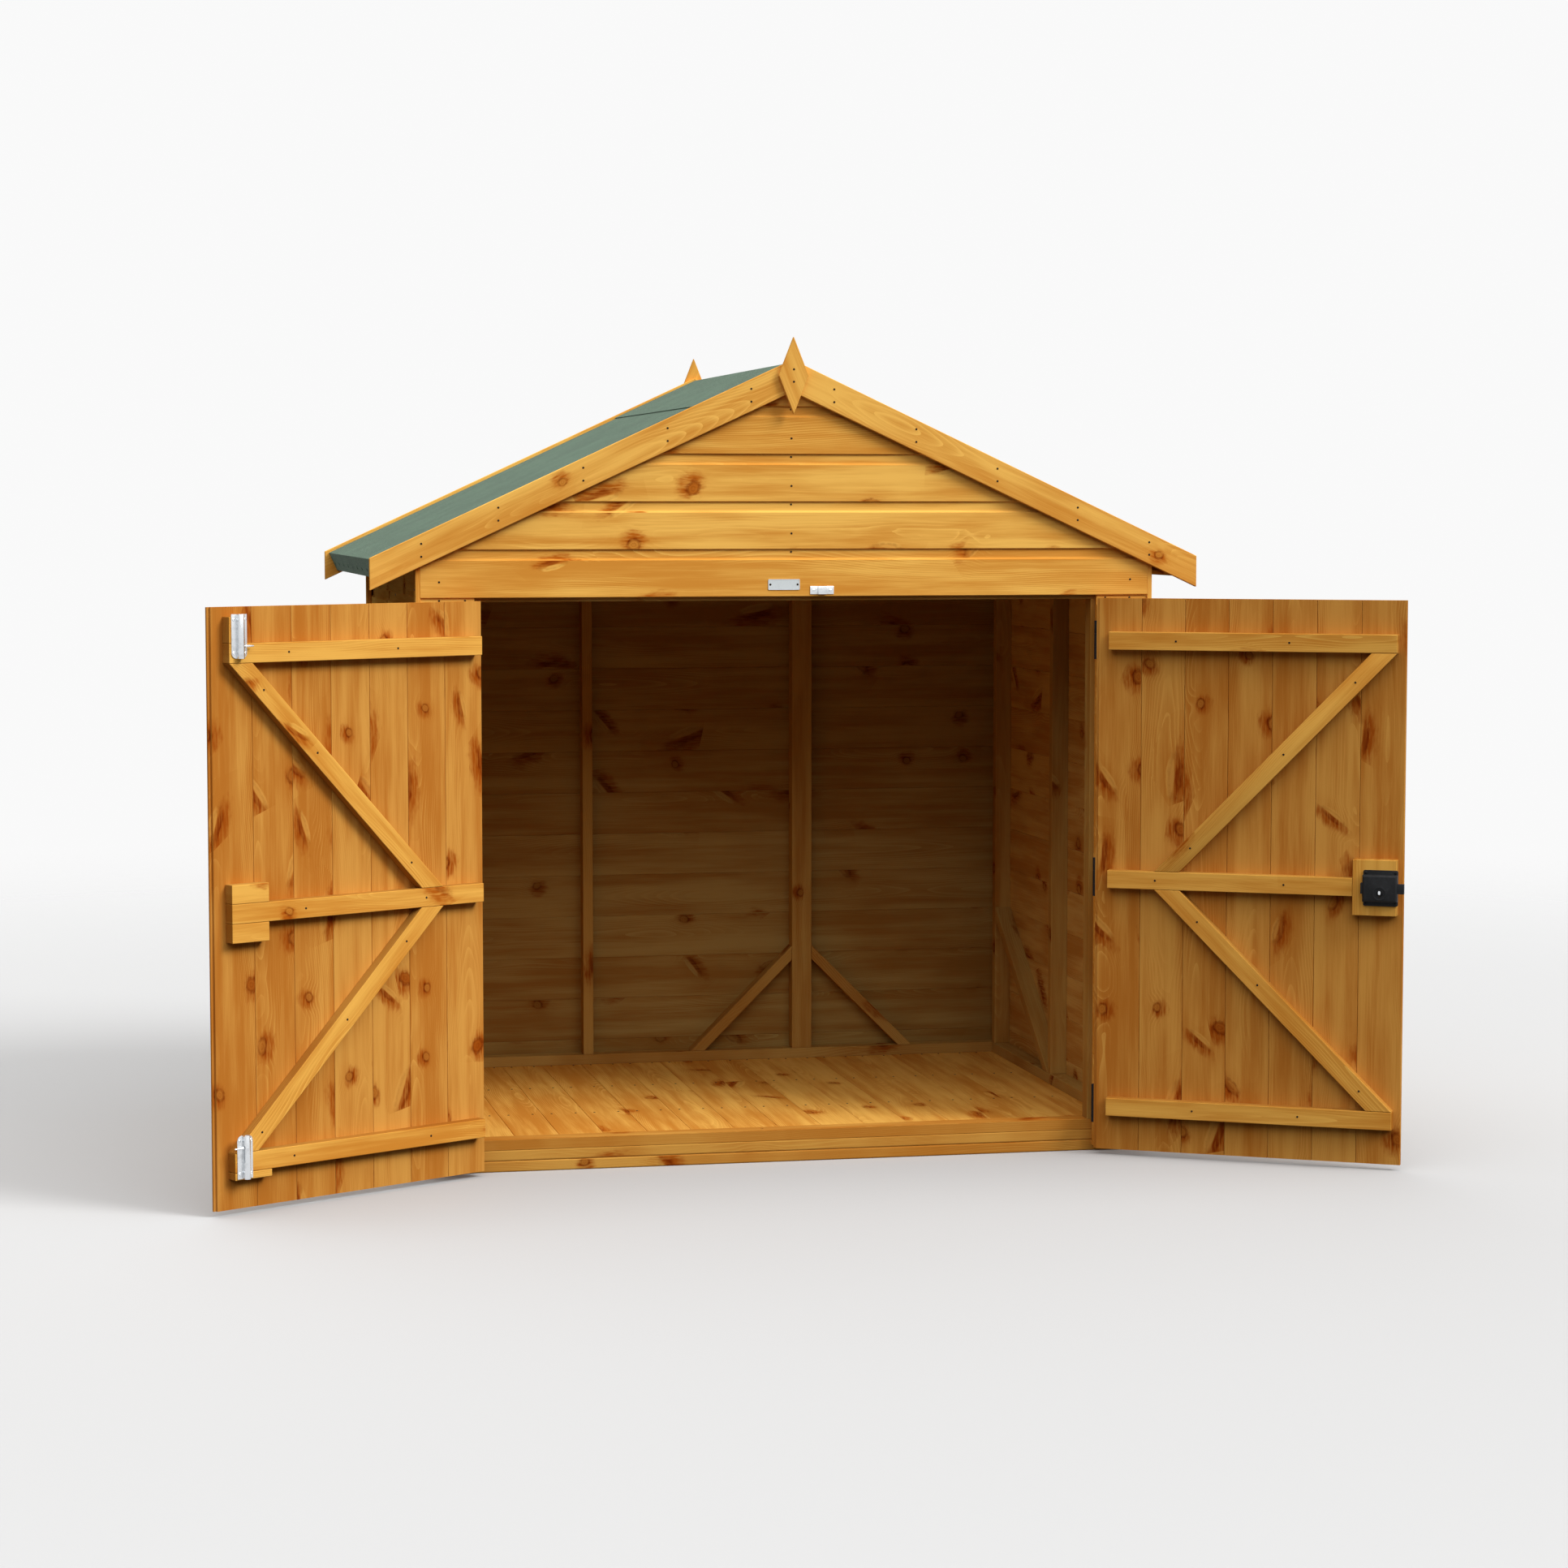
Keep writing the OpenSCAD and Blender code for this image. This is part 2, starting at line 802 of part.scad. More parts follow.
// Plates on the cladding left of the doorway, each with its two knuckles and its pin
module wall_plates() {
    for (z = hinge_zs())
        translate([-pivot_x, pivot_y, door_low + z]) {
            edge = -knuckle_r - plate_inset / 2;
            wall = -half_d - pivot_y;
            slab([edge - hinge_plate_w, wall - hinge_plate_t, -hinge_plate_h / 2],
                 [edge, wall, hinge_plate_h / 2]);
            for (low = [-hinge_plate_h / 2, hinge_plate_h / 2 - knuckle_h])
                translate([0, 0, low]) {
                    cylinder(h = knuckle_h, r = knuckle_r);
                    slab([edge - plate_inset, 0, 0], [edge, wall - hinge_plate_t, knuckle_h]);
                    slab([edge - plate_inset, -hinge_plate_t / 2, 0], [0, hinge_plate_t / 2, knuckle_h]);
                }
            cylinder(h = hinge_plate_h, r = pin_r, center = true);
        }
}

module left_hinge_straps() {
    color(black_iron) left_axis() door_straps(0);
}

module right_hinge_straps() {
    color(black_iron) right_axis() door_straps(180);
}

// Tapered straps on the doors' outer faces, each with the middle knuckle of its hinge
module door_straps(turn) {
    knuckle_l = knuckle_h - 2 * knuckle_gap;
    for (z = hinge_zs())
        translate([0, 0, z])
            rotate([0, turn, 0])
            difference() {
                union() {
                    cylinder(h = knuckle_l, r = knuckle_r, center = true);
                    strap_sheet(knuckle_l);
                }
                cylinder(h = hinge_plate_h, r = pin_r + pin_clear, center = true);
            }
}

// Flat strap from the knuckle to a round tip, against the door's face
module strap_sheet(root_h) {
    tip_r = strap_tip_h / 2;
    tip_u = strap_l - tip_r;
    translate([0, hinge_standoff, 0])
        rotate([90, 0, 0])
            linear_extrude(height = hinge_plate_t) {
                polygon([
                    [0, -root_h / 2],
                    [tip_u, -tip_r],
                    [tip_u, tip_r],
                    [0, root_h / 2]
                ]);
                translate([tip_u, 0]) circle(r = tip_r);
            }
}

// Bolts. Each is drawn with its plate's lower edge at zero and its rod pointing up
module bolt_barrels() {
    color(bright_zinc)
        left_leaf() {
            top_bolt_frame() bolt_barrel();
            bottom_bolt_frame() bolt_barrel();
        }
}

module top_bolt_frame() {
    translate([bolt_u, ledge_t, top_bolt_z - bolt_plate_l]) children();
}

module bottom_bolt_frame() {
    translate([bolt_u, ledge_t, bottom_bolt_z + bolt_plate_l]) rotate([0, 180, 0]) children();
}

module bolt_barrel() {
    rod_y = bolt_plate_t + rod_v;
    difference() {
        union() {
            bolt_plate();
            translate([0, rod_y, 0]) cylinder(h = bolt_plate_l, r = staple_r);
            slab([-staple_r, 0, 0], [staple_r, rod_y, bolt_plate_l]);
        }
        translate([0, rod_y, -over])
            cylinder(h = bolt_plate_l + 2 * over, r = rod_r + rod_clear);
        slab([-staple_r - over, rod_y - slot_half, knob_z - slot_half],
             [0, rod_y + slot_half, knob_z + bolt_throw + slot_half]);
    }
}

// Back plate with its tail's corners rounded
module bolt_plate() {
    corner_x = bolt_plate_w / 2 - tail_r;
    translate([0, bolt_plate_t, 0])
        rotate([90, 0, 0])
            linear_extrude(height = bolt_plate_t) {
                translate([-bolt_plate_w / 2, tail_r])
                    square([bolt_plate_w, bolt_plate_l - tail_r]);
                translate([-corner_x, 0])
                    square([2 * corner_x, 2 * tail_r]);
                for (x = [-corner_x, corner_x])
                    translate([x, tail_r]) circle(r = tail_r);
            }
}

module top_bolt_rod() {
    color(bright_zinc) left_leaf() top_bolt_frame() bolt_rod();
}

module bottom_bolt_rod() {
    color(bright_zinc) left_leaf() bottom_bolt_frame() bolt_rod();
}

module bolt_rod() {
    translate([0, bolt_plate_t + rod_v, 0]) {
        translate([0, 0, rod_inset]) cylinder(h = bolt_plate_l - rod_inset, r = rod_r);
        translate([0, 0, knob_z])
            rotate([0, -90, 0]) {
                cylinder(h = knob_neck_l, r = knob_r);
                translate([0, 0, knob_neck_l])
                    cylinder(h = knob_l - knob_neck_l, r1 = knob_wide_r, r2 = knob_tip_r);
            }
    }
}

// Rim lock on the right door, drawn from its edge nearest the free edge
module lock_frame() {
    translate([leaf_w - lock_inset, ledge_t, lock_z]) children();
}

module lock_case() {
    color(black_iron)
        right_leaf() lock_frame()
            difference() {
                lock_body();
                slab([-lock_w + lock_wall, lock_bolt_rise - lock_bolt_gap, -lock_bolt_h / 2 - lock_bolt_gap],
                     [over, lock_bolt_rise + lock_bolt_t + lock_bolt_gap, lock_bolt_h / 2 + lock_bolt_gap]);
            }
}

// Back plate with screw tabs above and below a raised case, a lug, and a round escutcheon
module lock_body() {
    case_h = lock_h / 2 - lock_tab_h;
    face_h = case_h - lock_chamfer;
    side_d = lock_d - lock_chamfer;
    lock_plate();
    intersection() {
        translate([0, 0, -case_h])
            linear_extrude(height = 2 * case_h)
                polygon([
                    [-lock_w, 0],
                    [0, 0],
                    [0, side_d],
                    [-lock_chamfer, lock_d],
                    [-lock_w + lock_chamfer, lock_d],
                    [-lock_w, side_d]
                ]);
        drawn_x([
            [0, -case_h],
            [side_d, -case_h],
            [lock_d, -face_h],
            [lock_d, face_h],
            [side_d, case_h],
            [0, case_h]
        ], -lock_w, 0);
    }
    slab([-lock_w - lock_lug_l, 0, -lock_lug_h / 2],
         [-lock_w + lock_wall, side_d, lock_lug_h / 2]);
    translate([-lock_w / 2, lock_d + escutcheon_t, -escutcheon_drop])
        rotate([90, 0, 0])
            cylinder(h = 2 * escutcheon_t, r = escutcheon_r);
}

// Back plate of the lock with rounded corners
module lock_plate() {
    corner_x = lock_w / 2 - lock_corner_r;
    corner_z = lock_h / 2 - lock_corner_r;
    translate([-lock_w / 2, lock_plate_t, 0])
        rotate([90, 0, 0])
            linear_extrude(height = lock_plate_t) {
                square([2 * corner_x, lock_h], center = true);
                square([lock_w, 2 * corner_z], center = true);
                for (x = [-corner_x, corner_x], z = [-corner_z, corner_z])
                    translate([x, z]) circle(r = lock_corner_r);
            }
}

module lock_bolt() {
    color(black_iron)
        right_leaf() lock_frame()
            slab([-lock_bolt_tail, lock_bolt_rise, -lock_bolt_h / 2],
                 [lock_bolt_out, lock_bolt_rise + lock_bolt_t, lock_bolt_h / 2]);
}

// Keep with a raised loop, on the cladding over the doors
module lintel_keep() {
    face_y = -half_d;
    low_z = head_z + keep_rise;
    ear = (keep_l - keep_loop_w) / 2;
    color(bright_zinc)
        translate([keep_x - keep_l / 2, face_y, low_z]) {
            difference() {
                union() {
                    slab([0, -keep_t, 0], [keep_l, 0, keep_h]);
                    slab([ear, -keep_loop_out, 0], [ear + keep_loop_w, 0, keep_h]);
                }
                slab([ear + keep_t, -keep_loop_out + keep_t, -over],
                     [ear + keep_loop_w - keep_t, over, keep_h + over]);
            }
        }
}

floor_bearers();
floor_joists();
floor_boards();
front_sill();
front_posts();
front_lintel();
front_gable_frame();
front_wall_left();
front_wall_right();
front_gable();
back_wall();
back_wall_frame();
left_wall();
left_wall_frame();
right_wall();
right_wall_frame();
corner_trims();
roof_deck_left();
roof_deck_right();
roof_battens_left();
roof_battens_right();
roof_felt_left();
roof_felt_right();
felt_ridge_strip();
front_bargeboards();
back_bargeboards();
finials();
left_hinge_plates();
right_hinge_plates();
lintel_keep();
left_door_boards();
left_door_ledges();
left_door_braces();
left_door_blocks();
left_hinge_straps();
bolt_barrels();
top_bolt_rod();
bottom_bolt_rod();
right_door_boards();
right_door_ledges();
right_door_braces();
lock_block();
lock_case();
right_hinge_straps();
lock_bolt();
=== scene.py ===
"""Finish of an apex bike shed: boards, felt and ironmongery over its frame, in a pale studio."""

import json
import math
import random
from contextlib import contextmanager

import bmesh
import bpy
import numpy as np
from mathutils import Matrix, Vector


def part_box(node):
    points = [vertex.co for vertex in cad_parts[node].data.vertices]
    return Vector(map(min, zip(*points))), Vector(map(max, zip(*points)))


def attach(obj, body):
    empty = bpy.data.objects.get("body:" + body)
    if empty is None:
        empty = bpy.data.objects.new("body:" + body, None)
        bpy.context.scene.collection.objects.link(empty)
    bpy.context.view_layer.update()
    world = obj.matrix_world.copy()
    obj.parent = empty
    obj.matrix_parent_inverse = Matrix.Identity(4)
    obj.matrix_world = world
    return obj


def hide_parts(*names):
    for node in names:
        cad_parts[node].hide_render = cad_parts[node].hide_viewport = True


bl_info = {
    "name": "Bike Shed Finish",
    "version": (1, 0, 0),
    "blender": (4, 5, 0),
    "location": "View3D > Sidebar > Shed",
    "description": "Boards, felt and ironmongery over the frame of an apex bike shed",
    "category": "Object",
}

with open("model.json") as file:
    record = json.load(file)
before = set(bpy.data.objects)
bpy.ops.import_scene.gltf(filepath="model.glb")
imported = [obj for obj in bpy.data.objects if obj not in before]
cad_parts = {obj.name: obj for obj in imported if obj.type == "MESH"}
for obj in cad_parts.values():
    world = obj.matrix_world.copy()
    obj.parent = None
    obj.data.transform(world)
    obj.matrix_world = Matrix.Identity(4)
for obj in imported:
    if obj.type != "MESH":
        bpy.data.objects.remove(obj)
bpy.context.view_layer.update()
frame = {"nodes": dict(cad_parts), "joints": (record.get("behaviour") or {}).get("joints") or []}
JOINTS = {joint["name"]: joint for joint in frame["joints"]}

# Tolerances for finding faces and merging points, in metres and radians
NEAR = 2e-5
MERGE = 1e-5
FLAT = math.radians(1)
SHARP = math.radians(28)
SMOOTH = math.radians(35)

# Cosines that tell which way a face looks: straight along an axis, towards it, or sideways from it
STRAIGHT = 0.9
TOWARDS = 0.3
SIDEWAYS = 0.5

# Way along X and word of the shed's two sides
SIDES = ((1, "right"), (-1, "left"))


# Settings that a user would change

def length(label, about, default):
    """A length of the finish."""
    return bpy.props.FloatProperty(
        name=label, description=about, default=default, unit="LENGTH", precision=4)


def colour(label, about, default):
    """A linear colour of the finish."""
    return bpy.props.FloatVectorProperty(
        name=label, description=about, default=default, subtype="COLOR", size=3, min=0.0, max=1.0)


def count(label, about, default):
    """A number of boards."""
    return bpy.props.IntProperty(name=label, description=about, default=default, min=1)


class ShedSizes(bpy.types.PropertyGroup):
    """Sizes of the boards and small fixings"""

    cladding_rows: count("Cladding rows", "Rows of cladding beside the doorway", 12)
    door_boards: count("Door boards", "Boards in each door", 7)
    floor_boards: count("Floor boards", "Boards in the floor", 16)
    roof_boards: count("Roof boards", "Boards under each slope", 10)
    scoop_depth: length("Scoop depth", "Depth of the scoop along the top of a cladding board", 0.0052)
    lip: length("Lip", "Round of a cladding board's lower edge", 0.0015)
    tongue: length("Tongue", "Length of the boards' tongues", 0.007)
    board_gap: length("Board gap", "Gap between tongued boards", 0.0007)
    board_edge: length("Board edge", "Bevel along the faces of tongued boards", 0.0012)
    timber_edge: length("Timber edge", "Round of the timbers' edges", 0.0016)
    sill_edge: length("Sill edge", "Round of the edges of the sill, joists and bearers", 0.0032)
    metal_edge: length("Metal edge", "Round of the ironmongery's edges", 0.0005)
    felt_edge: length("Felt edge", "Round of the felt's edges", 0.0009)
    nail_r: length("Nail", "Radius of the nail heads", 0.0027)
    clout_r: length("Clout", "Radius of the clout nails' heads", 0.0048)
    screw_r: length("Screw", "Radius of the screw heads", 0.0036)
    plate_w: length("Plate width", "Width of the bare plate over the doors", 0.0785)
    plate_h: length("Plate height", "Height of the bare plate over the doors", 0.026)
    plate_x: length("Plate place", "Middle of the bare plate, from the shed's middle", -0.0188)
    plate_rise: length("Plate rise", "Lower edge of the bare plate above the doorway's head", 0.016)


class ShedColours(bpy.types.PropertyGroup):
    """Colours of the finishes"""

    pine_pale: colour("Pale pine", "Stained pine between its rings", (0.82, 0.400, 0.082))
    pine_deep: colour("Deep pine", "Stained pine along its rings", (0.60, 0.212, 0.029))
    knot: colour("Knot", "Knots in the stained pine", (0.44, 0.095, 0.007))
    felt: colour("Felt", "Green mineral felt", (0.062, 0.108, 0.070))
    felt_fleck: colour("Felt fleck", "Pale grains in the felt", (0.172, 0.228, 0.172))
    iron: colour("Iron", "Black paint on the lock and the hinges", (0.011, 0.0115, 0.0125))
    zinc: colour("Zinc", "Bright zinc on the bolts and the keep", (0.70, 0.72, 0.74))
    plate: colour("Plate", "Bare plate over the doors", (0.62, 0.66, 0.67))
    nail: colour("Nail", "Nail heads", (0.022, 0.013, 0.007))
    studio: colour("Studio", "Floor of the studio", (0.50, 0.50, 0.50))


def sizes():
    """The shed's size settings."""
    return bpy.context.scene.shed_sizes


def colours():
    """The shed's colour settings."""
    return bpy.context.scene.shed_colours


# Places read from the frame

def read_rows(items, key, width=1, kind=float):
    """One property of a mesh's points, faces or corners as an array."""
    values = np.empty(len(items) * width, dtype=kind)
    items.foreach_get(key, values)
    return values.reshape(-1, width) if width > 1 else values


def node_points(node):
    """The points of a node's mesh as rows."""
    return read_rows(frame["nodes"][node].data.vertices, "co", 3)


def solids_of(node):
    """The points of each separate solid in a node, from left to right."""
    mesh = frame["nodes"][node].data
    points = [vertex.co.to_tuple(5) for vertex in mesh.vertices]
    leader = {point: point for point in points}

    def first(point):
        """The point that leads this one's solid."""
        while leader[point] != point:
            leader[point] = leader[leader[point]]
            point = leader[point]
        return point

    for face in mesh.polygons:
        head = first(points[face.vertices[0]])
        for index in face.vertices[1:]:
            leader[first(points[index])] = head
    groups = {}
    for point in points:
        groups.setdefault(first(point), set()).add(point)
    solids = [np.array(sorted(group)) for group in groups.values()]
    return sorted(solids, key=lambda rows: tuple(rows.mean(0)))


def points_in(points, matrix):
    """Points as rows in a turned frame."""
    turned = np.array(matrix.inverted())
    return points @ turned[:3, :3].T + turned[:3, 3]


def box_of(points):
    """Lowest and highest corner of some points."""
    return Vector(points.min(0)), Vector(points.max(0))


def box_in(points, matrix):
    """Lowest and highest corner of some points in a turned frame."""
    return box_of(points_in(points, matrix))


def axis_of(matrix, index):
    """Direction of one of a frame's axes."""
    return matrix.col[index].to_3d()


def board_pitch(low, high, number):
    """Spacing of tongued boards that fill a box from side to side."""
    return (high.x - low.x - sizes().tongue) / number


def cladding_rows():
    """Foot of the cladding, top of its full rows, and their spacing."""
    low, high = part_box("front_wall_left")
    return low.z, high.z, (high.z - low.z) / sizes().cladding_rows


def leaf_matrix(side):
    """Frame of a door at its hinge: X along the leaf, Y inwards, Z up."""
    joint = JOINTS[f"{side}_door_hinge"]
    shut = math.radians(joint["range_deg"][0]) * joint["axis"][2]
    x, y = joint["pos_m"][:2]
    return Matrix.Translation((x, y, 0)) @ Matrix.Rotation(-shut, 4, "Z")


def roof_line():
    """Height of the wall tops at the middle, and the slope of the roof."""
    points = node_points("front_gable")
    apex = points[:, 2].max()
    half = points[:, 0].max()
    eave = points[points[:, 0] > half - NEAR][:, 2].max()
    return apex, math.atan2(apex - eave, half)


def axes_matrix(x, y, z):
    """Matrix with the given axes."""
    return Matrix((x, y, z)).transposed().to_4x4()


def slope_matrix(side):
    """Frame of a roof slope: X down the slope, Y out of it, Z along the eaves."""
    pitch = roof_line()[1]
    down = Vector((side * math.cos(pitch), 0, -math.sin(pitch)))
    out = Vector((side * math.sin(pitch), 0, math.cos(pitch)))
    return axes_matrix(down, out, (0, -side, 0))


# Modelling by hand

def clear_selection():
    """Leaves nothing selected."""
    if bpy.context.object and bpy.context.object.mode != "OBJECT":
        bpy.ops.object.mode_set(mode="OBJECT")
    bpy.ops.object.select_all(action="DESELECT")


def take(*pieces):
    """Selects pieces, the first one active."""
    clear_selection()
    for piece in pieces:
        piece.select_set(True)
    bpy.context.view_layer.objects.active = pieces[0]


@contextmanager
def editing(piece):
    """Opens a piece in edit mode with all of it selected."""
    take(piece)
    bpy.ops.object.mode_set(mode="EDIT")
    bpy.ops.mesh.select_all(action="SELECT")
    yield
    bpy.ops.object.mode_set(mode="OBJECT")


def settle(name):
    """Names the new primitive and puts its place into its mesh."""
    piece = bpy.context.object
    piece.name = name
    bpy.ops.object.transform_apply(location=True, rotation=True, scale=True)
    return piece


def new_block(name, low, high):
    """A block between two corners, as a start."""
    clear_selection()
    low, high = Vector(low), Vector(high)
    bpy.ops.mesh.primitive_cube_add(size=1, location=(low + high) / 2, scale=high - low)
    return settle(name)


def new_rod(name, radius, height, sides):
    """An upright rod that stands on the origin, as a start."""
    clear_selection()
    bpy.ops.mesh.primitive_cylinder_add(
        vertices=sides, radius=radius, depth=height, location=(0, 0, height / 2))
    return settle(name)


def pick(piece, what, test):
    """Selects the vertices, edges or faces of the piece being edited that pass a test."""
    kinds = ("verts", "edges", "faces")
    bpy.context.tool_settings.mesh_select_mode = [what == kind for kind in kinds]
    bpy.ops.mesh.select_all(action="DESELECT")
    mesh = bmesh.from_edit_mesh(piece.data)
    mesh.normal_update()
    for item in getattr(mesh, what):
        if test(item):
            item.select_set(True)
    mesh.select_flush_mode()
    bmesh.update_edit_mesh(piece.data)


def cut(place, normal, **options):
    """Cuts all of the piece being edited by a plane."""
    bpy.ops.mesh.select_all(action="SELECT")
    bpy.ops.mesh.bisect(plane_co=place, plane_no=normal, threshold=NEAR, **options)


def pull(offset):
    """Extrudes the selected faces."""
    bpy.ops.mesh.extrude_region_move(TRANSFORM_OT_translate={"value": offset})


def soften(offset, segments=2):
    """Bevels the selected edges."""
    bpy.ops.mesh.bevel(offset=offset, segments=segments, affect="EDGES", clamp_overlap=True)


def both_ends(test):
    """A test for edges, passed when both ends pass one."""
    return lambda edge: all(test(vertex.co) for vertex in edge.verts)


def span(edge, axis):
    """How far an edge runs along an axis."""
    return abs(edge.verts[0].co[axis] - edge.verts[1].co[axis])


def is_sharp(edge):
    """Whether an edge is a real corner and not a facet of a round face."""
    return len(edge.link_faces) == 2 and edge.calc_face_angle(0) > SHARP


def node_copy(name, node, edge):
    """A node's form as a piece of its own, with its corners softened."""
    piece = frame["nodes"][node].copy()
    piece.data = piece.data.copy()
    piece.name = name
    piece.parent = None
    for key in list(piece.keys()):
        del piece[key]
    piece.data.materials.clear()
    bpy.context.scene.collection.objects.link(piece)
    with editing(piece):
        bpy.ops.mesh.remove_doubles(threshold=MERGE)
        bpy.ops.mesh.dissolve_limited(angle_limit=FLAT)
        bpy.ops.mesh.customdata_custom_splitnormals_clear()
        pick(piece, "edges", is_sharp)
        soften(edge)
    return piece


def twin(master, matrix):
    """A copy of a piece with its own mesh, set in place."""
    piece = master.copy()
    piece.data = master.data.copy()
    piece.data.transform(matrix)
    bpy.context.scene.collection.objects.link(piece)
    return piece


def drop(piece):
    """Deletes a piece that only served as a pattern."""
    mesh = piece.data
    bpy.data.objects.remove(piece)
    bpy.data.meshes.remove(mesh)


def joined(name, pieces):
    """One piece made of several."""
    take(*pieces)
    if len(pieces) > 1:
        bpy.ops.object.join()
    piece = bpy.context.object
    piece.name = name
    piece.data.name = name
    return piece


def copies(name, master, matrices):
    """One piece made of copies of a pattern."""
    made = joined(name, [twin(master, matrix) for matrix in matrices])
    drop(master)
    return made


def smooth(piece):
    """Smooths the round faces of a piece."""
    take(piece)
    bpy.ops.object.shade_smooth_by_angle(angle=SMOOTH)
    return piece


def hand_over(piece, finish, body, slot, *nodes):
    """Gives a piece its finish, its body and the nodes that it stands for; its slot is not used."""
    piece.data.materials.clear()
    piece.data.materials.append(FINISHES[finish])
    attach(piece, body)
    if nodes:
        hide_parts(*nodes)
    return piece


def second_finish(piece, finish, wanted):
    """Gives the faces that pass a test their own finish."""
    piece.data.materials.append(FINISHES[finish])
    with editing(piece):
        pick(piece, "faces", wanted)
        piece.active_material_index = 1
        bpy.ops.object.material_slot_assign()


def set_grain(piece, along, across, draw):
    """Writes the board's own directions and chance values, which its finish follows."""
    mesh = piece.data

    def write(name, kind, domain, key, values):
        """Adds an attribute to the mesh."""
        mesh.attributes.new(name, kind, domain).data.foreach_set(key, values.ravel())

    points = read_rows(mesh.vertices, "co", 3)
    axes = np.array([along, across, along.cross(across)])
    # Each board starts at a place of its own along one long log
    log_l = 40
    grain = (points - points.mean(0)) @ axes.T
    grain[:, 0] += draw.uniform(0, log_l)
    write("grain", "FLOAT_VECTOR", "POINT", "vector", grain)
    write("tone", "FLOAT", "POINT", "value", np.full(len(points), draw.random()))
    # Flat coordinates for the knots: along and across each face, and whether it is a sawn end
    edge_shift = 0.37
    normals = read_rows(mesh.polygons, "normal", 3)
    sides = read_rows(mesh.polygons, "loop_total", kind=int)
    facing = np.repeat(np.abs(normals @ axes.T).argmax(1), sides)
    spots = grain[read_rows(mesh.loops, "vertex_index", kind=int)]
    over = np.where(facing == 1, spots[:, 2] + edge_shift, spots[:, 1])
    write("flat", "FLOAT_VECTOR", "CORNER", "vector", np.column_stack([spots[:, 0], over, facing == 0]))


# Boards and timbers

def shiplap_board(run, thick, pitch):
    """A cladding board: outer face at zero towards -Y, with a scoop along its top."""
    face_top_share = 0.77
    scoop_share = 0.055
    steps = 6
    depth = sizes().scoop_depth
    board = new_block("cladding_board", (0, 0, 0), (run, thick, pitch))
    levels = [pitch * (face_top_share + scoop_share * step / steps) for step in range(steps + 1)]
    with editing(board):
        for level in levels:
            cut((0, 0, level), (0, 0, 1))
        for step, level in list(enumerate(levels))[1:]:
            pick(board, "verts", lambda v: v.co.y < NEAR and abs(v.co.z - level) < NEAR)
            inwards = depth * math.sin(step / steps * math.pi / 2)
            bpy.ops.transform.translate(value=(0, inwards, 0))
        pick(board, "verts", lambda v: v.co.y < NEAR and v.co.z > pitch - NEAR)
        bpy.ops.transform.translate(value=(0, depth, 0))
        pick(board, "edges", both_ends(lambda co: co.z < NEAR and co.y < NEAR))
        soften(sizes().lip)
        on_back = both_ends(lambda co: co.y > thick - NEAR and (co.z < NEAR or co.z > pitch - NEAR))
        pick(board, "edges", lambda edge: on_back(edge) and span(edge, 2) < NEAR)
        soften(sizes().board_edge, 1)
    return board


def tongued_board(run, pitch, thick):
    """A board with a tongue towards +X, its seen face at zero towards +Y, and +Z along it."""
    tongue = sizes().tongue
    half_gap = sizes().board_gap / 2
    low_share, high_share = 0.36, 0.68
    board = new_block("tongued_board", (half_gap, -thick, 0), (pitch - half_gap, 0, run))

    def on_tongue_level(face):
        """Whether a face is one that the tongue or the groove is made of."""
        return -thick * high_share < face.calc_center_median().y < -thick * low_share

    with editing(board):
        for share in (low_share, high_share):
            cut((0, -thick * share, 0), (0, 1, 0))
        on_face = both_ends(lambda co: co.y > -NEAR or co.y < -thick + NEAR)
        pick(board, "edges", lambda edge: on_face(edge) and span(edge, 0) < NEAR and span(edge, 1) < NEAR)
        soften(sizes().board_edge)
        for side in (1, -1):
            pick(board, "faces", lambda face: side * face.normal.x > STRAIGHT and on_tongue_level(face))
            pull((tongue, 0, 0))
    return board


def tongued_boards(name, node, matrix, number, seed):
    """Boards side by side that fill a node's box in a turned frame."""
    draw = random.Random(seed)
    low, high = box_in(node_points(node), matrix)
    pitch = board_pitch(low, high, number)
    board = tongued_board(high.z - low.z, pitch, high.y - low.y)
    placed = []
    for index in range(number):
        piece = twin(board, matrix @ Matrix.Translation((low.x + index * pitch, high.y, low.z)))
        set_grain(piece, axis_of(matrix, 2), axis_of(matrix, 0), draw)
        placed.append(piece)
    drop(board)
    return joined(name, placed)


def clip(piece, place, normal):
    """Cuts away what lies beyond a plane and closes the cut."""
    with editing(piece):
        cut(place, normal, clear_outer=True, use_fill=True)


def clad_wall(node, turn):
    """Rows of cladding over a wall, cut to the roof where they reach it."""
    full_rows_top, pitch = cladding_rows()[1:]
    turned = Matrix.Rotation(math.radians(turn), 4, "Z")
    low, high = box_in(node_points(node), turned)
    board = shiplap_board(high.x - low.x, high.y - low.y, pitch)
    apex, slope = roof_line()
    draw = random.Random(node)
    placed = []
    for row in range(math.ceil((high.z - low.z - NEAR) / pitch)):
        piece = twin(board, turned @ Matrix.Translation((low.x, low.y, low.z + row * pitch)))
        set_grain(piece, axis_of(turned, 0), Vector((0, 0, 1)), draw)
        if low.z + (row + 1) * pitch > full_rows_top + NEAR:
            for side in (-1, 1):
                clip(piece, (0, 0, apex), (side * math.sin(slope), 0, math.cos(slope)))
        placed.append(piece)
    drop(board)
    piece = hand_over(joined(f"{node}_cladding", placed), "cladding", "shed", "cladding", node)
    inwards = axis_of(turned, 1)
    # Faces that look into the shed take a second finish that paints on the shade of the inside: a darker
    # one on the front and back walls, a lighter one on the side walls
    shaded_lining = "side_inside" if abs(turn) == 90 else "inside"
    second_finish(piece, shaded_lining, lambda face: face.normal.dot(inwards) > TOWARDS)


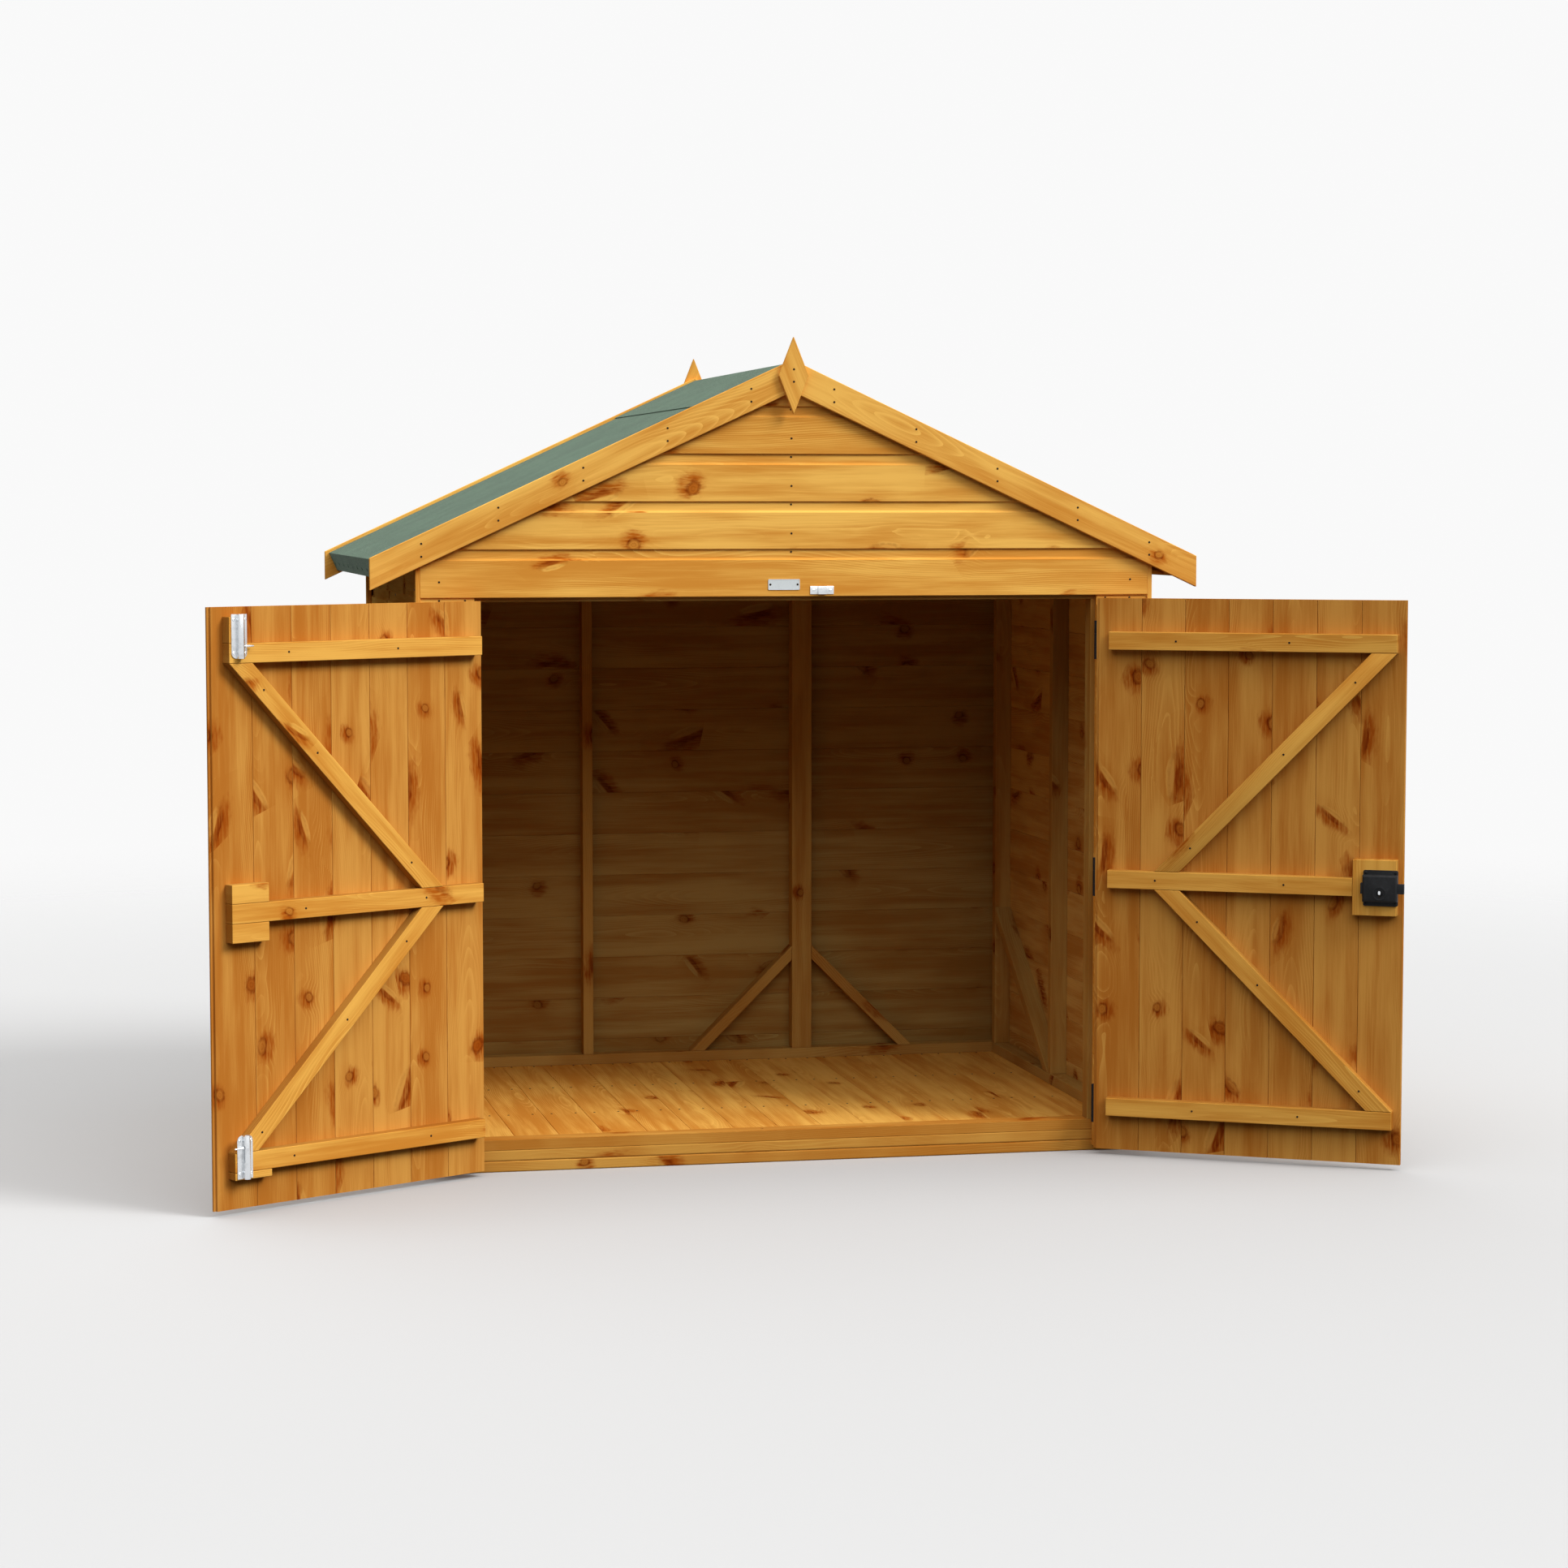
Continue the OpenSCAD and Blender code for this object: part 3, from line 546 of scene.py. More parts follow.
def timber_axes(piece):
    """Directions along and across a timber, from its longest edge and its largest face."""
    mesh = piece.data
    points = [vertex.co for vertex in mesh.vertices]
    spans = [points[edge.vertices[1]] - points[edge.vertices[0]] for edge in mesh.edges]
    along = max(spans, key=lambda step: step.length).normalized()
    face = max(mesh.polygons, key=lambda polygon: polygon.area).normal
    return along, face.cross(along).normalized()


def middle_of(piece):
    """Mean of a piece's points, to a tenth of a millimetre."""
    points = [vertex.co for vertex in piece.data.vertices]
    return (sum(points, Vector()) / len(points)).to_tuple(4)


def dress_timbers(node, finish, body, slot, edge):
    """The timbers of a node with soft edges, each with a grain of its own."""
    piece = node_copy(f"{node}_timber", node, edge)
    with editing(piece):
        bpy.ops.mesh.separate(type="LOOSE")
    parts = sorted(bpy.context.selected_objects, key=middle_of)
    draw = random.Random(node)
    for part in parts:
        set_grain(part, *timber_axes(part), draw)
    return hand_over(joined(f"{node}_timber", parts), finish, body, slot, node)


# Small fixings

def head_matrix(place, normal):
    """Frame of a nail or screw head on a surface."""
    turn = Vector((0, 0, 1)).rotation_difference(Vector(normal)).to_matrix().to_4x4()
    return Matrix.Translation(place) @ turn


def round_head(name, radius, rise, sides, edge, segments=2):
    """A round head that stands on the origin, soft round its top."""
    head = new_rod(name, radius, rise, sides)
    with editing(head):
        pick(head, "edges", both_ends(lambda co: co.z > rise - NEAR))
        soften(edge, segments)
    return head


def nail_head():
    """A small domed nail head."""
    radius = sizes().nail_r
    return round_head("nail_head", radius, rise=radius * 0.35, sides=10, edge=radius * 0.25, segments=1)


def clout_head():
    """A flat clout head."""
    radius = sizes().clout_r
    return round_head("clout_head", radius, rise=radius * 0.22, sides=14, edge=radius * 0.14)


def screw_head():
    """A raised screw head with a recess."""
    radius = sizes().screw_r
    rise, recess_inset = radius * 0.45, radius * 0.42
    head = round_head("screw_head", radius, rise, sides=16, edge=radius * 0.3)
    with editing(head):
        pick(head, "faces", lambda face: face.normal.z > STRAIGHT)
        bpy.ops.mesh.inset(thickness=recess_inset)
        pull((0, 0, -rise * 0.6))
    return head


def fix(name, master, places, finish, body, slot):
    """Heads at each place and normal, as one piece."""
    piece = copies(name, master, [head_matrix(place, normal) for place, normal in places])
    hand_over(smooth(piece), finish, body, slot)


def pressed_plate(name, low, high, out, corner, segments, rim, sink):
    """A plate with round corners and a sunk face that looks along +Y or -Y."""
    plate = new_block(name, low, high)
    with editing(plate):
        pick(plate, "edges", lambda edge: span(edge, 1) > NEAR)
        soften(corner, segments)
        pick(plate, "faces", lambda face: out * face.normal.y > STRAIGHT)
        bpy.ops.mesh.inset(thickness=rim)
        pull((0, -out * sink, 0))
    return plate


# Finishes

class Wires:
    """Short words for adding nodes to one node tree."""

    def __init__(self, tree):
        self.tree = tree

    def add(self, kind, **settings):
        """A node with its settings."""
        made = self.tree.nodes.new(kind)
        for key, value in settings.items():
            setattr(made, key, value)
        return made

    def feed(self, socket, value):
        """A link or a plain value into a socket."""
        if isinstance(value, bpy.types.NodeSocket):
            self.tree.links.new(value, socket)
        else:
            socket.default_value = value

    def fill(self, sockets, **values):
        """Links or plain values into sockets by their names."""
        for key, value in values.items():
            self.feed(sockets[key.replace("_", " ")], value)

    def math(self, operation, *values):
        """A sum on values."""
        made = self.add("ShaderNodeMath", operation=operation)
        for socket, value in zip(made.inputs, values):
            self.feed(socket, value)
        return made.outputs[0]

    def times(self, value, *others):
        """Values multiplied."""
        for other in others:
            value = self.math("MULTIPLY", value, other)
        return value

    def rest(self, share):
        """What a share leaves of one."""
        return self.math("SUBTRACT", 1.0, share)

    def distance(self, x, y):
        """Length of a flat offset."""
        return self.math("SQRT", self.math("MULTIPLY_ADD", x, x, self.times(y, y)))

    def total(self, *terms):
        """Values added up, each with its weight."""
        result = 0.0
        for value, weight in terms:
            result = self.math("MULTIPLY_ADD", value, weight, result)
        return result

    def split(self, vector):
        """The three parts of a vector."""
        made = self.add("ShaderNodeSeparateXYZ")
        self.feed(made.inputs[0], vector)
        return tuple(made.outputs)

    def vector(self, *parts):
        """A vector from three parts, each a value with its scale."""
        made = self.add("ShaderNodeCombineXYZ")
        for socket, part in zip(made.inputs, parts):
            self.feed(socket, self.times(*part))
        return made.outputs[0]

    def noise(self, place, scale=1.0, detail=2.0, rough=0.5):
        """Soft noise about a half."""
        made = self.add("ShaderNodeTexNoise")
        self.fill(made.inputs, Vector=place, Scale=scale, Detail=detail, Roughness=rough)
        return made.outputs["Fac"]

    def drift(self, *parts, detail=2.0, rough=0.5):
        """Soft noise with a scale of its own along each axis."""
        return self.noise(self.vector(*parts), 1.0, detail, rough)

    def cells(self, place, scale):
        """Distance to the nearest point of a scatter, and that point's chance values."""
        made = self.add("ShaderNodeTexVoronoi")
        self.fill(made.inputs, Vector=place, Scale=scale)
        return made.outputs["Distance"], self.split(made.outputs["Color"])

    def scatter(self, x, y, x_scale, y_scale, spread):
        """Offsets from the nearest point of a flat scatter, and that point's chance values."""
        made = self.add("ShaderNodeTexVoronoi", voronoi_dimensions="2D")
        place = self.vector((x, x_scale), (y, y_scale), (0.0, 1.0))
        self.fill(made.inputs, Vector=place, Scale=1.0, Randomness=spread)
        near = self.split(made.outputs["Position"])
        offsets = (self.math("MULTIPLY_ADD", near[0], -1.0 / x_scale, x),
                   self.math("MULTIPLY_ADD", near[1], -1.0 / y_scale, y))
        return offsets, self.split(made.outputs["Color"])

    def ease(self, value, start, end):
        """A smooth step from nothing at start to full at end."""
        made = self.add("ShaderNodeMapRange", interpolation_type="SMOOTHSTEP")
        self.fill(made.inputs, Value=value, From_Min=start, From_Max=end)
        return made.outputs[0]

    def blend(self, share, first, second, mode="MIX"):
        """Two colours mixed."""
        made = self.add("ShaderNodeMix", data_type="RGBA", blend_type=mode)
        for index, value in ((0, share), (6, first), (7, second)):
            self.feed(made.inputs[index], value)
        return made.outputs[2]


def new_group(name, inputs):
    """A shader node group for a surface with its sockets, ready to wire."""
    tree = bpy.data.node_groups.new(name, "ShaderNodeTree")
    outputs = {"Color": "Color", "Roughness": "Float", "Height": "Float"}
    for way, sockets in (("INPUT", inputs), ("OUTPUT", outputs)):
        for label, kind in sockets.items():
            tree.interface.new_socket(name=label, in_out=way, socket_type=f"NodeSocket{kind}")
    wires = Wires(tree)
    return wires, wires.add("NodeGroupInput").outputs, wires.add("NodeGroupOutput").inputs


def knotty_pine():
    """Group: streaked and arched grain with stained knots, round or drawn out on a slant."""
    wires, given, made = new_group("Knotty pine", {
        "Grain": "Vector", "Flat": "Vector", "Tone": "Float", "Pale": "Color", "Deep": "Color",
        "Stain": "Color", "Knots": "Float"})
    along, across, depth = wires.split(given["Grain"])
    run, over, sawn = wires.split(given["Flat"])
    tone, pale, deep = given["Tone"], given["Pale"], given["Deep"]
    leaning = wires.math("SUBTRACT", tone, 0.5)

    # Knots, each with its own place, size, slant and length
    (off_run, off_over), (chance, size, kind) = wires.scatter(
        run, over, x_scale=4.8, y_scale=8.2, spread=0.75)
    present = wires.times(wires.math("LESS_THAN", chance, given["Knots"]), wires.rest(sawn))
    slant = wires.total((wires.math("FRACT", wires.times(chance, 37.1)), 1.5), (1.0, -0.40))
    cosine, sine = wires.math("COSINE", slant), wires.math("SINE", slant)
    along_knot = wires.total((off_run, cosine), (off_over, sine))
    across_knot = wires.total((off_over, cosine), (wires.times(off_run, -1.0), sine))
    drawn_out = wires.ease(kind, 0.35, 0.62)
    half_w = wires.total((size, 0.0065), (1.0, 0.0082))
    half_l = wires.times(half_w, wires.total((drawn_out, 2.6), (1.0, 1.25)))
    rough = wires.math("SUBTRACT", wires.drift((run, 45.0), (over, 120.0), (tone, 9.0)), 0.5)
    shift = wires.times(half_w, wires.math("SIGN", slant))
    beside = wires.ease(wires.math("DIVIDE", across_knot, shift), -0.30, 0.20)
    stained = wires.times(present, wires.rest(wires.times(drawn_out, wires.rest(beside))))

    def oval(length, width, move, wobble):
        """Distance from the knot's middle, one at the edge of an oval."""
        x = wires.math("DIVIDE", along_knot, wires.times(half_l, length))
        moved = wires.math("MULTIPLY_ADD", shift, move, across_knot)
        y = wires.math("DIVIDE", moved, wires.times(half_w, width))
        return wires.math("MULTIPLY_ADD", rough, wobble, wires.distance(x, y))

    core_far = oval(length=1.0, width=1.0, move=0.0, wobble=0.5)
    core = wires.times(present, wires.ease(core_far, 1.08, 0.78))
    uneven = wires.ease(wires.drift((run, 95.0), (over, 95.0), (tone, 15.0)), 0.36, 0.60)
    rim = wires.times(present, wires.total((uneven, 0.65), (1.0, 0.35)),
                      wires.ease(core_far, 0.62, 0.98), wires.ease(core_far, 1.4, 1.0))
    stain_l = wires.total((drawn_out, -0.60), (1.0, 1.95))
    stain_far = oval(stain_l, width=2.0, move=-0.9, wobble=1.1)
    flame = wires.ease(wires.drift((run, 26.0), (over, 210.0), (tone, 70.0)), 0.34, 0.60)
    streaky = wires.times(stained, wires.total((flame, 0.55), (1.0, 0.50)))
    stain = wires.times(streaky, wires.ease(stain_far, 1.45, 0.55))
    scorch_l = wires.total((drawn_out, -0.45), (1.0, 1.45))
    scorch_far = oval(scorch_l, width=1.05, move=-0.6, wobble=1.3)
    scorch = wires.times(streaky, wires.ease(scorch_far, 1.02, 0.35))
    lens_far = oval(length=0.95, width=0.80, move=0.80, wobble=0.5)
    lens = wires.times(present, drawn_out, wires.ease(lens_far, 1.1, 0.7))
    swirl = wires.times(present, wires.ease(core_far, 5.0, 0.8))

    # Rings about a pith that lies off the board, so that wide boards show arches
    off_pith = wires.math("MULTIPLY_ADD", leaning, -0.10, across)
    ring_r = wires.distance(off_pith, wires.math("ADD", depth, 0.030))
    slow = wires.drift((along, 1.5), (across, 0.6), (tone, 23.0), detail=1.0)
    waver = wires.drift((along, 6.0), (across, 26.0), (tone, 31.0), detail=1.0)
    rings = wires.total((ring_r, 210.0), (slow, 24.0), (waver, 0.9), (swirl, 2.0))
    ring = wires.math("FRACT", rings)
    line = wires.times(ring, ring, ring, ring)
    patch = wires.ease(wires.drift((along, 1.9), (across, 14.0), (tone, 60.0)), 0.46, 0.66)
    lines = wires.times(line, wires.total((patch, 0.80), (1.0, 0.06)))

    # Fibres, streaks and clouds, which share the wood out between its pale and its deep colour
    fibre = wires.drift((along, 9.0), (across, 520.0), (depth, 520.0), detail=3.0, rough=0.65)
    streak = wires.drift((along, 1.7), (across, 30.0), (tone, 40.0), detail=4.0, rough=0.62)
    cloud = wires.drift((along, 3.2), (across, 10.0), (tone, 50.0))
    share = wires.total((streak, 1.90), (fibre, 0.55), (cloud, 1.10), (leaning, 0.36), (swirl, 0.14),
                        (lines, -0.70), (sawn, 0.35), (1.0, -1.25))

    # Colours, laid over one another
    heart = wires.blend(wires.ease(size, 0.62, 0.95), deep, given["Stain"])
    heart_ring = wires.times(wires.math("FRACT", wires.times(core_far, 2.3)), 0.6)
    heart = wires.blend(heart_ring, heart, (0.60, 0.46, 0.38, 1.0), "MULTIPLY")
    in_core = wires.times(core, wires.total((drawn_out, -0.70), (1.0, 0.85)))
    in_rim = wires.times(rim, wires.total((drawn_out, -0.38), (1.0, 0.62)))
    wood = wires.blend(wires.ease(share, 0.0, 1.0), pale, deep)
    wood = wires.blend(wires.times(stain, 0.94), wood, given["Stain"])
    wood = wires.blend(wires.times(scorch, 0.85), wood, (0.56, 0.31, 0.22, 1.0), "MULTIPLY")
    wood = wires.blend(wires.times(lens, 0.75), wood, pale)
    wood = wires.blend(in_core, wood, heart)
    wood = wires.blend(in_rim, wood, (0.40, 0.20, 0.11, 1.0), "MULTIPLY")
    wires.fill(made, Color=wood,
               Roughness=wires.total((fibre, 0.20), (lines, -0.08), (core, -0.06), (1.0, 0.40)),
               Height=wires.total((lines, 0.25), (fibre, 0.45), (rim, -0.35)))
    return wires.tree


def worn_metal():
    """Group: cloudy tone and fine scratches on a metal or painted face."""
    wires, given, made = new_group("Worn metal", {
        "Place": "Vector", "Colour": "Color", "Worn": "Color", "Amount": "Float", "Gloss": "Float"})
    cloud = wires.noise(given["Place"], scale=90.0, detail=3.0)
    x, y, z = wires.split(given["Place"])
    scratch = wires.drift((x, 900.0), (y, 900.0), (z, 60.0))
    worn = wires.times(wires.ease(cloud, 0.45, 0.75), given["Amount"])
    wires.fill(made, Color=wires.blend(worn, given["Colour"], given["Worn"]),
               Roughness=wires.total((cloud, 0.22), (scratch, 0.12), (given["Gloss"], 1.0)),
               Height=wires.total((scratch, 0.5), (cloud, 0.5)))
    return wires.tree


def rgba(values):
    """A colour setting with full alpha."""
    return (*values, 1.0)


def shade(values, *factors):
    """A colour made lighter or darker, by one factor or by one for each of its parts."""
    if len(factors) == 1:
        factors *= 3
    return rgba(min(1.0, value * factor) for value, factor in zip(values, factors))


def new_finish(name, **plain):
    """A material with plain values on its shader, and its wires."""
    finish = bpy.data.materials.new(name)
    finish.use_nodes = True
    wires = Wires(finish.node_tree)
    shader = finish.node_tree.nodes["Principled BSDF"]
    wires.fill(shader.inputs, **plain)
    return finish, wires, shader


def bump(wires, shader, height, strength, distance):
    """Relief on the shader's normal."""
    relief = wires.add("ShaderNodeBump")
    wires.fill(relief.inputs, Strength=strength, Distance=distance, Height=height)
    wires.feed(shader.inputs["Normal"], relief.outputs["Normal"])


def use_group(wires, shader, tree, strength, distance, **settings):
    """Places a group in a material and wires what it puts out."""
    group = wires.add("ShaderNodeGroup", node_tree=tree)
    wires.fill(group.inputs, **settings)
    wires.fill(shader.inputs, Base_Color=group.outputs["Color"], Roughness=group.outputs["Roughness"])
    bump(wires, shader, group.outputs["Height"], strength, distance)


def object_place(wires):
    """Object coordinates."""
    return wires.add("ShaderNodeTexCoord").outputs["Object"]


def pine(name, tree, knots, *tones):
    """Stained pine with its own share of knots and its own tone in red, green and blue."""
    finish, wires, shader = new_finish(name, Specular_IOR_Level=0.0)
    grain, flat, tone = (wires.add("ShaderNodeAttribute", attribute_name=key).outputs
                         for key in ("grain", "flat", "tone"))
    tint = colours()
    use_group(wires, shader, tree, strength=0.25, distance=0.0008,
              Grain=grain["Vector"], Flat=flat["Vector"], Tone=tone["Fac"],
              Pale=shade(tint.pine_pale, *tones), Deep=shade(tint.pine_deep, *tones),
              Stain=shade(tint.knot, *tones), Knots=knots)
    return finish


def metal(name, tree, tint, worn, amount, gloss, metallic):
    """Metal or painted metal with wear, which is a shade of its colour."""
    finish, wires, shader = new_finish(name, Metallic=metallic, Specular_IOR_Level=0.14)
    use_group(wires, shader, tree, strength=0.15, distance=0.0003, Place=object_place(wires),
              Colour=rgba(tint), Worn=shade(tint, worn), Amount=amount, Gloss=gloss)
    return finish


def mineral_felt():
    """Green felt with pale and dark mineral grains."""
    finish, wires, shader = new_finish("mineral_felt", Specular_IOR_Level=0.25)
    place = object_place(wires)
    tint = colours()
    gap, chances = wires.cells(place, scale=620.0)
    cloud = wires.noise(place, scale=7.0, detail=3.0)
    grit = wires.noise(place, scale=900.0)
    base = wires.blend(wires.ease(cloud, 0.3, 0.75), shade(tint.felt, 0.86), shade(tint.felt, 1.12))
    base = wires.blend(wires.times(wires.ease(chances[0], 0.72, 0.95), 0.75), base, rgba(tint.felt_fleck))
    base = wires.blend(wires.times(wires.ease(chances[1], 0.80, 0.95), 0.6), base, shade(tint.felt, 0.45))
    wires.fill(shader.inputs, Base_Color=base, Roughness=wires.total((grit, 0.15), (1.0, 0.80)))
    height = wires.total((gap, -0.6), (grit, 0.4), (cloud, 0.6))
    bump(wires, shader, height, strength=0.5, distance=0.0012)
    return finish


# Share of knots, and tone in red, green and blue, of each finish in pine
PINES = {
    "cladding": (0.48, 1.17, 1.35, 1.40),
    # The two inside tones paint light and shade onto the cladding's inner faces: darker and less red than
    # the outside cladding, most of all on the front and back walls, as the dim light inside the shed
    # leaves them
    "inside": (0.38, 0.47, 0.62, 0.92),
    "side_inside": (0.38, 0.82, 1.06, 1.50),
    "door_board": (0.56, 0.83, 0.805, 0.78),
    "door_timber": (0.28, 1.06, 1.15, 1.08),
    # The door edge tone paints shade onto the tops, undersides and ends of the door timbers, darker than
    # the light alone would leave them
    "door_edge": (0.10, 0.62, 0.64, 0.60),
    "trim": (0.36, 1.16, 1.32, 1.36),
    # The framing's tone is painted shade: darker and less red, for the dim inside of the shed where it
    # stands
    "framing": (0.26, 0.60, 0.72, 0.90),
    "sill": (0.34, 0.76, 0.78, 0.74),
    "floor": (0.30, 1.04, 1.14, 1.14),
    "roof_board": (0.36, 0.66, 0.74, 0.85),
}
# Name, shade of the wear, amount of wear, least roughness and metal share of each finish in metal
METALS = {
    "iron": ("black_iron", 2.2, 0.5, 0.42, 0.0),
    "zinc": ("bright_zinc", 0.72, 0.7, 0.12, 1.0),
    "plate": ("bare_plate", 0.85, 0.5, 0.22, 0.35),
    "nail": ("nail_steel", 1.8, 0.6, 0.55, 0.0),
}
FINISHES = {}


def make_finishes():
    """All finishes, made once."""
    wood, wear = knotty_pine(), worn_metal()
    for key, values in PINES.items():
        FINISHES[key] = pine(f"{key}_pine", wood, *values)
    for key, (name, *values) in METALS.items():
        FINISHES[key] = metal(name, wear, getattr(colours(), key), *values)
    FINISHES["felt"] = mineral_felt()


# Operators, one for each group of pieces

class SHED_OT_walls(bpy.types.Operator):
    """Clad the four walls and the front gable with scooped boards"""

    bl_idname = "shed.walls"
    bl_label = "Wall Cladding"

    def execute(self, context):
        turns = {"front_wall_left": 0, "front_wall_right": 0, "front_gable": 0, "back_wall": 180,
                 "right_wall": 90, "left_wall": -90}
        for node, turn in turns.items():
            clad_wall(node, turn)
        return {"FINISHED"}


class SHED_OT_timbers(bpy.types.Operator):
    """Dress the framing, the floor's bearers and sill, and the outside trims"""

    bl_idname = "shed.timbers"
    bl_label = "Framing and Trims"

    def execute(self, context):
        groups = {
            "framing": ["front_posts", "front_lintel", "front_gable_frame", "back_wall_frame",
                        "left_wall_frame", "right_wall_frame", "roof_battens_left", "roof_battens_right"],
            "floor": ["floor_bearers", "floor_joists", "front_sill"],
            "trim": ["corner_trims", "front_bargeboards", "back_bargeboards", "finials"],
        }
        for slot, nodes in groups.items():
            finish, edge = (slot, sizes().timber_edge) if slot != "floor" else ("sill", sizes().sill_edge)
            for node in nodes:
                dress_timbers(node, finish, "shed", slot, edge)
        return {"FINISHED"}


class SHED_OT_floor(bpy.types.Operator):
    """Lay the floor boards from back to front"""

    bl_idname = "shed.floor"
    bl_label = "Floor Boards"

    def execute(self, context):
        matrix = axes_matrix((1, 0, 0), (0, 0, 1), (0, -1, 0))
        piece = tongued_boards("floor_planks", "floor_boards", matrix, sizes().floor_boards, "floor")
        hand_over(piece, "floor", "shed", "floor", "floor_boards")
        return {"FINISHED"}


class SHED_OT_roof(bpy.types.Operator):
    """Lay the roof boards, the felt and its clout nails"""

    bl_idname = "shed.roof"
    bl_label = "Roof Boards and Felt"

    def execute(self, context):
        for side, word in SIDES:
            node = f"roof_deck_{word}"
            matrix = slope_matrix(side)
            piece = tongued_boards(f"roof_planks_{word}", node, matrix, sizes().roof_boards, node)
            clip(piece, (0, 0, 0), (-side, 0, 0))
            hand_over(piece, "roof_board", "shed", "roof_boards", node)
            self.felt(f"roof_felt_{word}")
        self.felt("felt_ridge_strip")
        self.clouts()
        return {"FINISHED"}

    def felt(self, node):
        """One length of felt."""
        piece = node_copy(f"{node}_sheet", node, sizes().felt_edge)
        hand_over(piece, "felt", "shed", "felt", node)

    def clouts(self):
        """Clout nails along the felt that is turned down over the eaves."""
        spacing = 0.13
        edge_inset = 0.05
        down_share = 0.6
        places = []
        for side, word in SIDES:
            points = node_points(f"roof_felt_{word}")
            fold = points[np.abs(points[:, 0]).argmax()]
            foot = points[points[:, 2] < points[:, 2].min() + NEAR]
            foot = foot[np.abs(foot[:, 0]).argmax()]
            fall = Vector((foot[0] - fold[0], 0, foot[2] - fold[2]))
            normal = Vector((0, -side, 0)).cross(fall).normalized()
            front, back = points[:, 1].min() + edge_inset, points[:, 1].max() - edge_inset
            number = round((back - front) / spacing)
            for index in range(number + 1):
                y = front + (back - front) * index / number
                place = Vector((fold[0], y, fold[2])) + fall * down_share
                places.append((place, normal))
        fix("felt_clouts", clout_head(), places, "felt", "shed", "felt")


class SHED_OT_doors(bpy.types.Operator):
    """Board the two doors and dress their ledges, braces and blocks"""

    bl_idname = "shed.doors"
    bl_label = "Doors"

    def execute(self, context):
        timbers = {"left": ["left_door_ledges", "left_door_braces", "left_door_blocks"],
                   "right": ["right_door_ledges", "right_door_braces", "lock_block"]}
        for side, nodes in timbers.items():
            body = f"{side}_door"
            node = f"{side}_door_boards"
            matrix = leaf_matrix(side)
            piece = tongued_boards(f"{side}_door_planks", node, matrix, sizes().door_boards, node)
            hand_over(piece, "door_board", body, "door_boards", node)
            inwards = axis_of(matrix, 1)
            for timber in nodes:
                piece = dress_timbers(timber, "door_timber", body, "door_timber", sizes().timber_edge)
                # Their tops, undersides and ends take a darker finish: painted shade that keeps their lit
                # tops, and the light these throw onto the boards, down
                second_finish(piece, "door_edge", lambda face: abs(face.normal.dot(inwards)) < SIDEWAYS)
        return {"FINISHED"}


def dress_metal(node, finish, body, slot):
    """A node of ironmongery with soft edges and smooth round faces."""
    piece = node_copy(f"{node}_metal", node, sizes().metal_edge)
    hand_over(smooth(piece), finish, body, slot, node)


class SHED_OT_hinges(bpy.types.Operator):
    """Dress the hinges and drive their screws"""

    bl_idname = "shed.hinges"
    bl_label = "Hinges"

    def execute(self, context):
        for away, side in reversed(SIDES):
            hand = -away
            dress_metal(f"{side}_hinge_plates", "iron", "shed", "black_iron")
            dress_metal(f"{side}_hinge_straps", "iron", f"{side}_door", "black_iron")
            self.plate_screws(side, hand)
            self.strap_screws(side, hand)
        return {"FINISHED"}

    def plate_screws(self, side, hand):
        """Four screws in each wall plate."""
        shares = ((0.2, 0.12), (0.2, 0.88), (0.55, 0.3), (0.55, 0.7))
        plate_w_share = 0.72
        places = []
        for solid in solids_of(f"{side}_hinge_plates"):
            low, high = box_of(solid)
            outer = low.x if hand > 0 else high.x
            face = solid[np.abs(solid[:, 0] - outer) < NEAR][:, 1].min()
            for across, up in shares:
                x = outer + hand * across * (high.x - low.x) * plate_w_share
                places.append(((x, face, low.z + up * (high.z - low.z)), (0, -1, 0)))
        fix(f"{side}_plate_screws", screw_head(), places, "iron", "shed", "black_iron")

    def strap_screws(self, side, hand):
        """Five screws along each strap."""
        shares = (0.14, 0.36, 0.58, 0.78, 0.95)
        tip_share = 0.1
        matrix = leaf_matrix(side)
        places = []
        for solid in solids_of(f"{side}_hinge_straps"):
            low, high = box_in(solid, matrix)
            tip = high.x if hand > 0 else low.x
            local = points_in(solid, matrix)
            face = local[np.abs(local[:, 0] - tip) < abs(tip) * tip_share][:, 1].min()
            for share in shares:
                place = matrix @ Vector((tip * share, face, (low.z + high.z) / 2))
                places.append((place, -axis_of(matrix, 1)))
        fix(f"{side}_strap_screws", screw_head(), places, "iron", f"{side}_door", "black_iron")


class SHED_OT_bolts(bpy.types.Operator):
    """Dress the two bolts of the left door and drive their screws"""

    bl_idname = "shed.bolts"
    bl_label = "Bolts"

    def execute(self, context):
        dress_metal("bolt_barrels", "zinc", "left_door", "zinc")
        dress_metal("top_bolt_rod", "zinc", "top_bolt", "zinc")
        dress_metal("bottom_bolt_rod", "zinc", "bottom_bolt", "zinc")
        across_share, end_inset, edge_near = 0.13, 0.012, 0.0001
        matrix = leaf_matrix("left")
        places = []
        for solid in solids_of("bolt_barrels"):
            low, high = box_in(solid, matrix)
            local = points_in(solid, matrix)
            face = local[local[:, 0] < low.x + edge_near][:, 1].max()
            for share in (across_share, 1 - across_share):
                for z in (low.z + end_inset, high.z - end_inset):
                    place = matrix @ Vector((low.x + share * (high.x - low.x), face, z))
                    places.append((place, axis_of(matrix, 1)))
        fix("bolt_screws", screw_head(), places, "zinc", "left_door", "zinc")
        return {"FINISHED"}


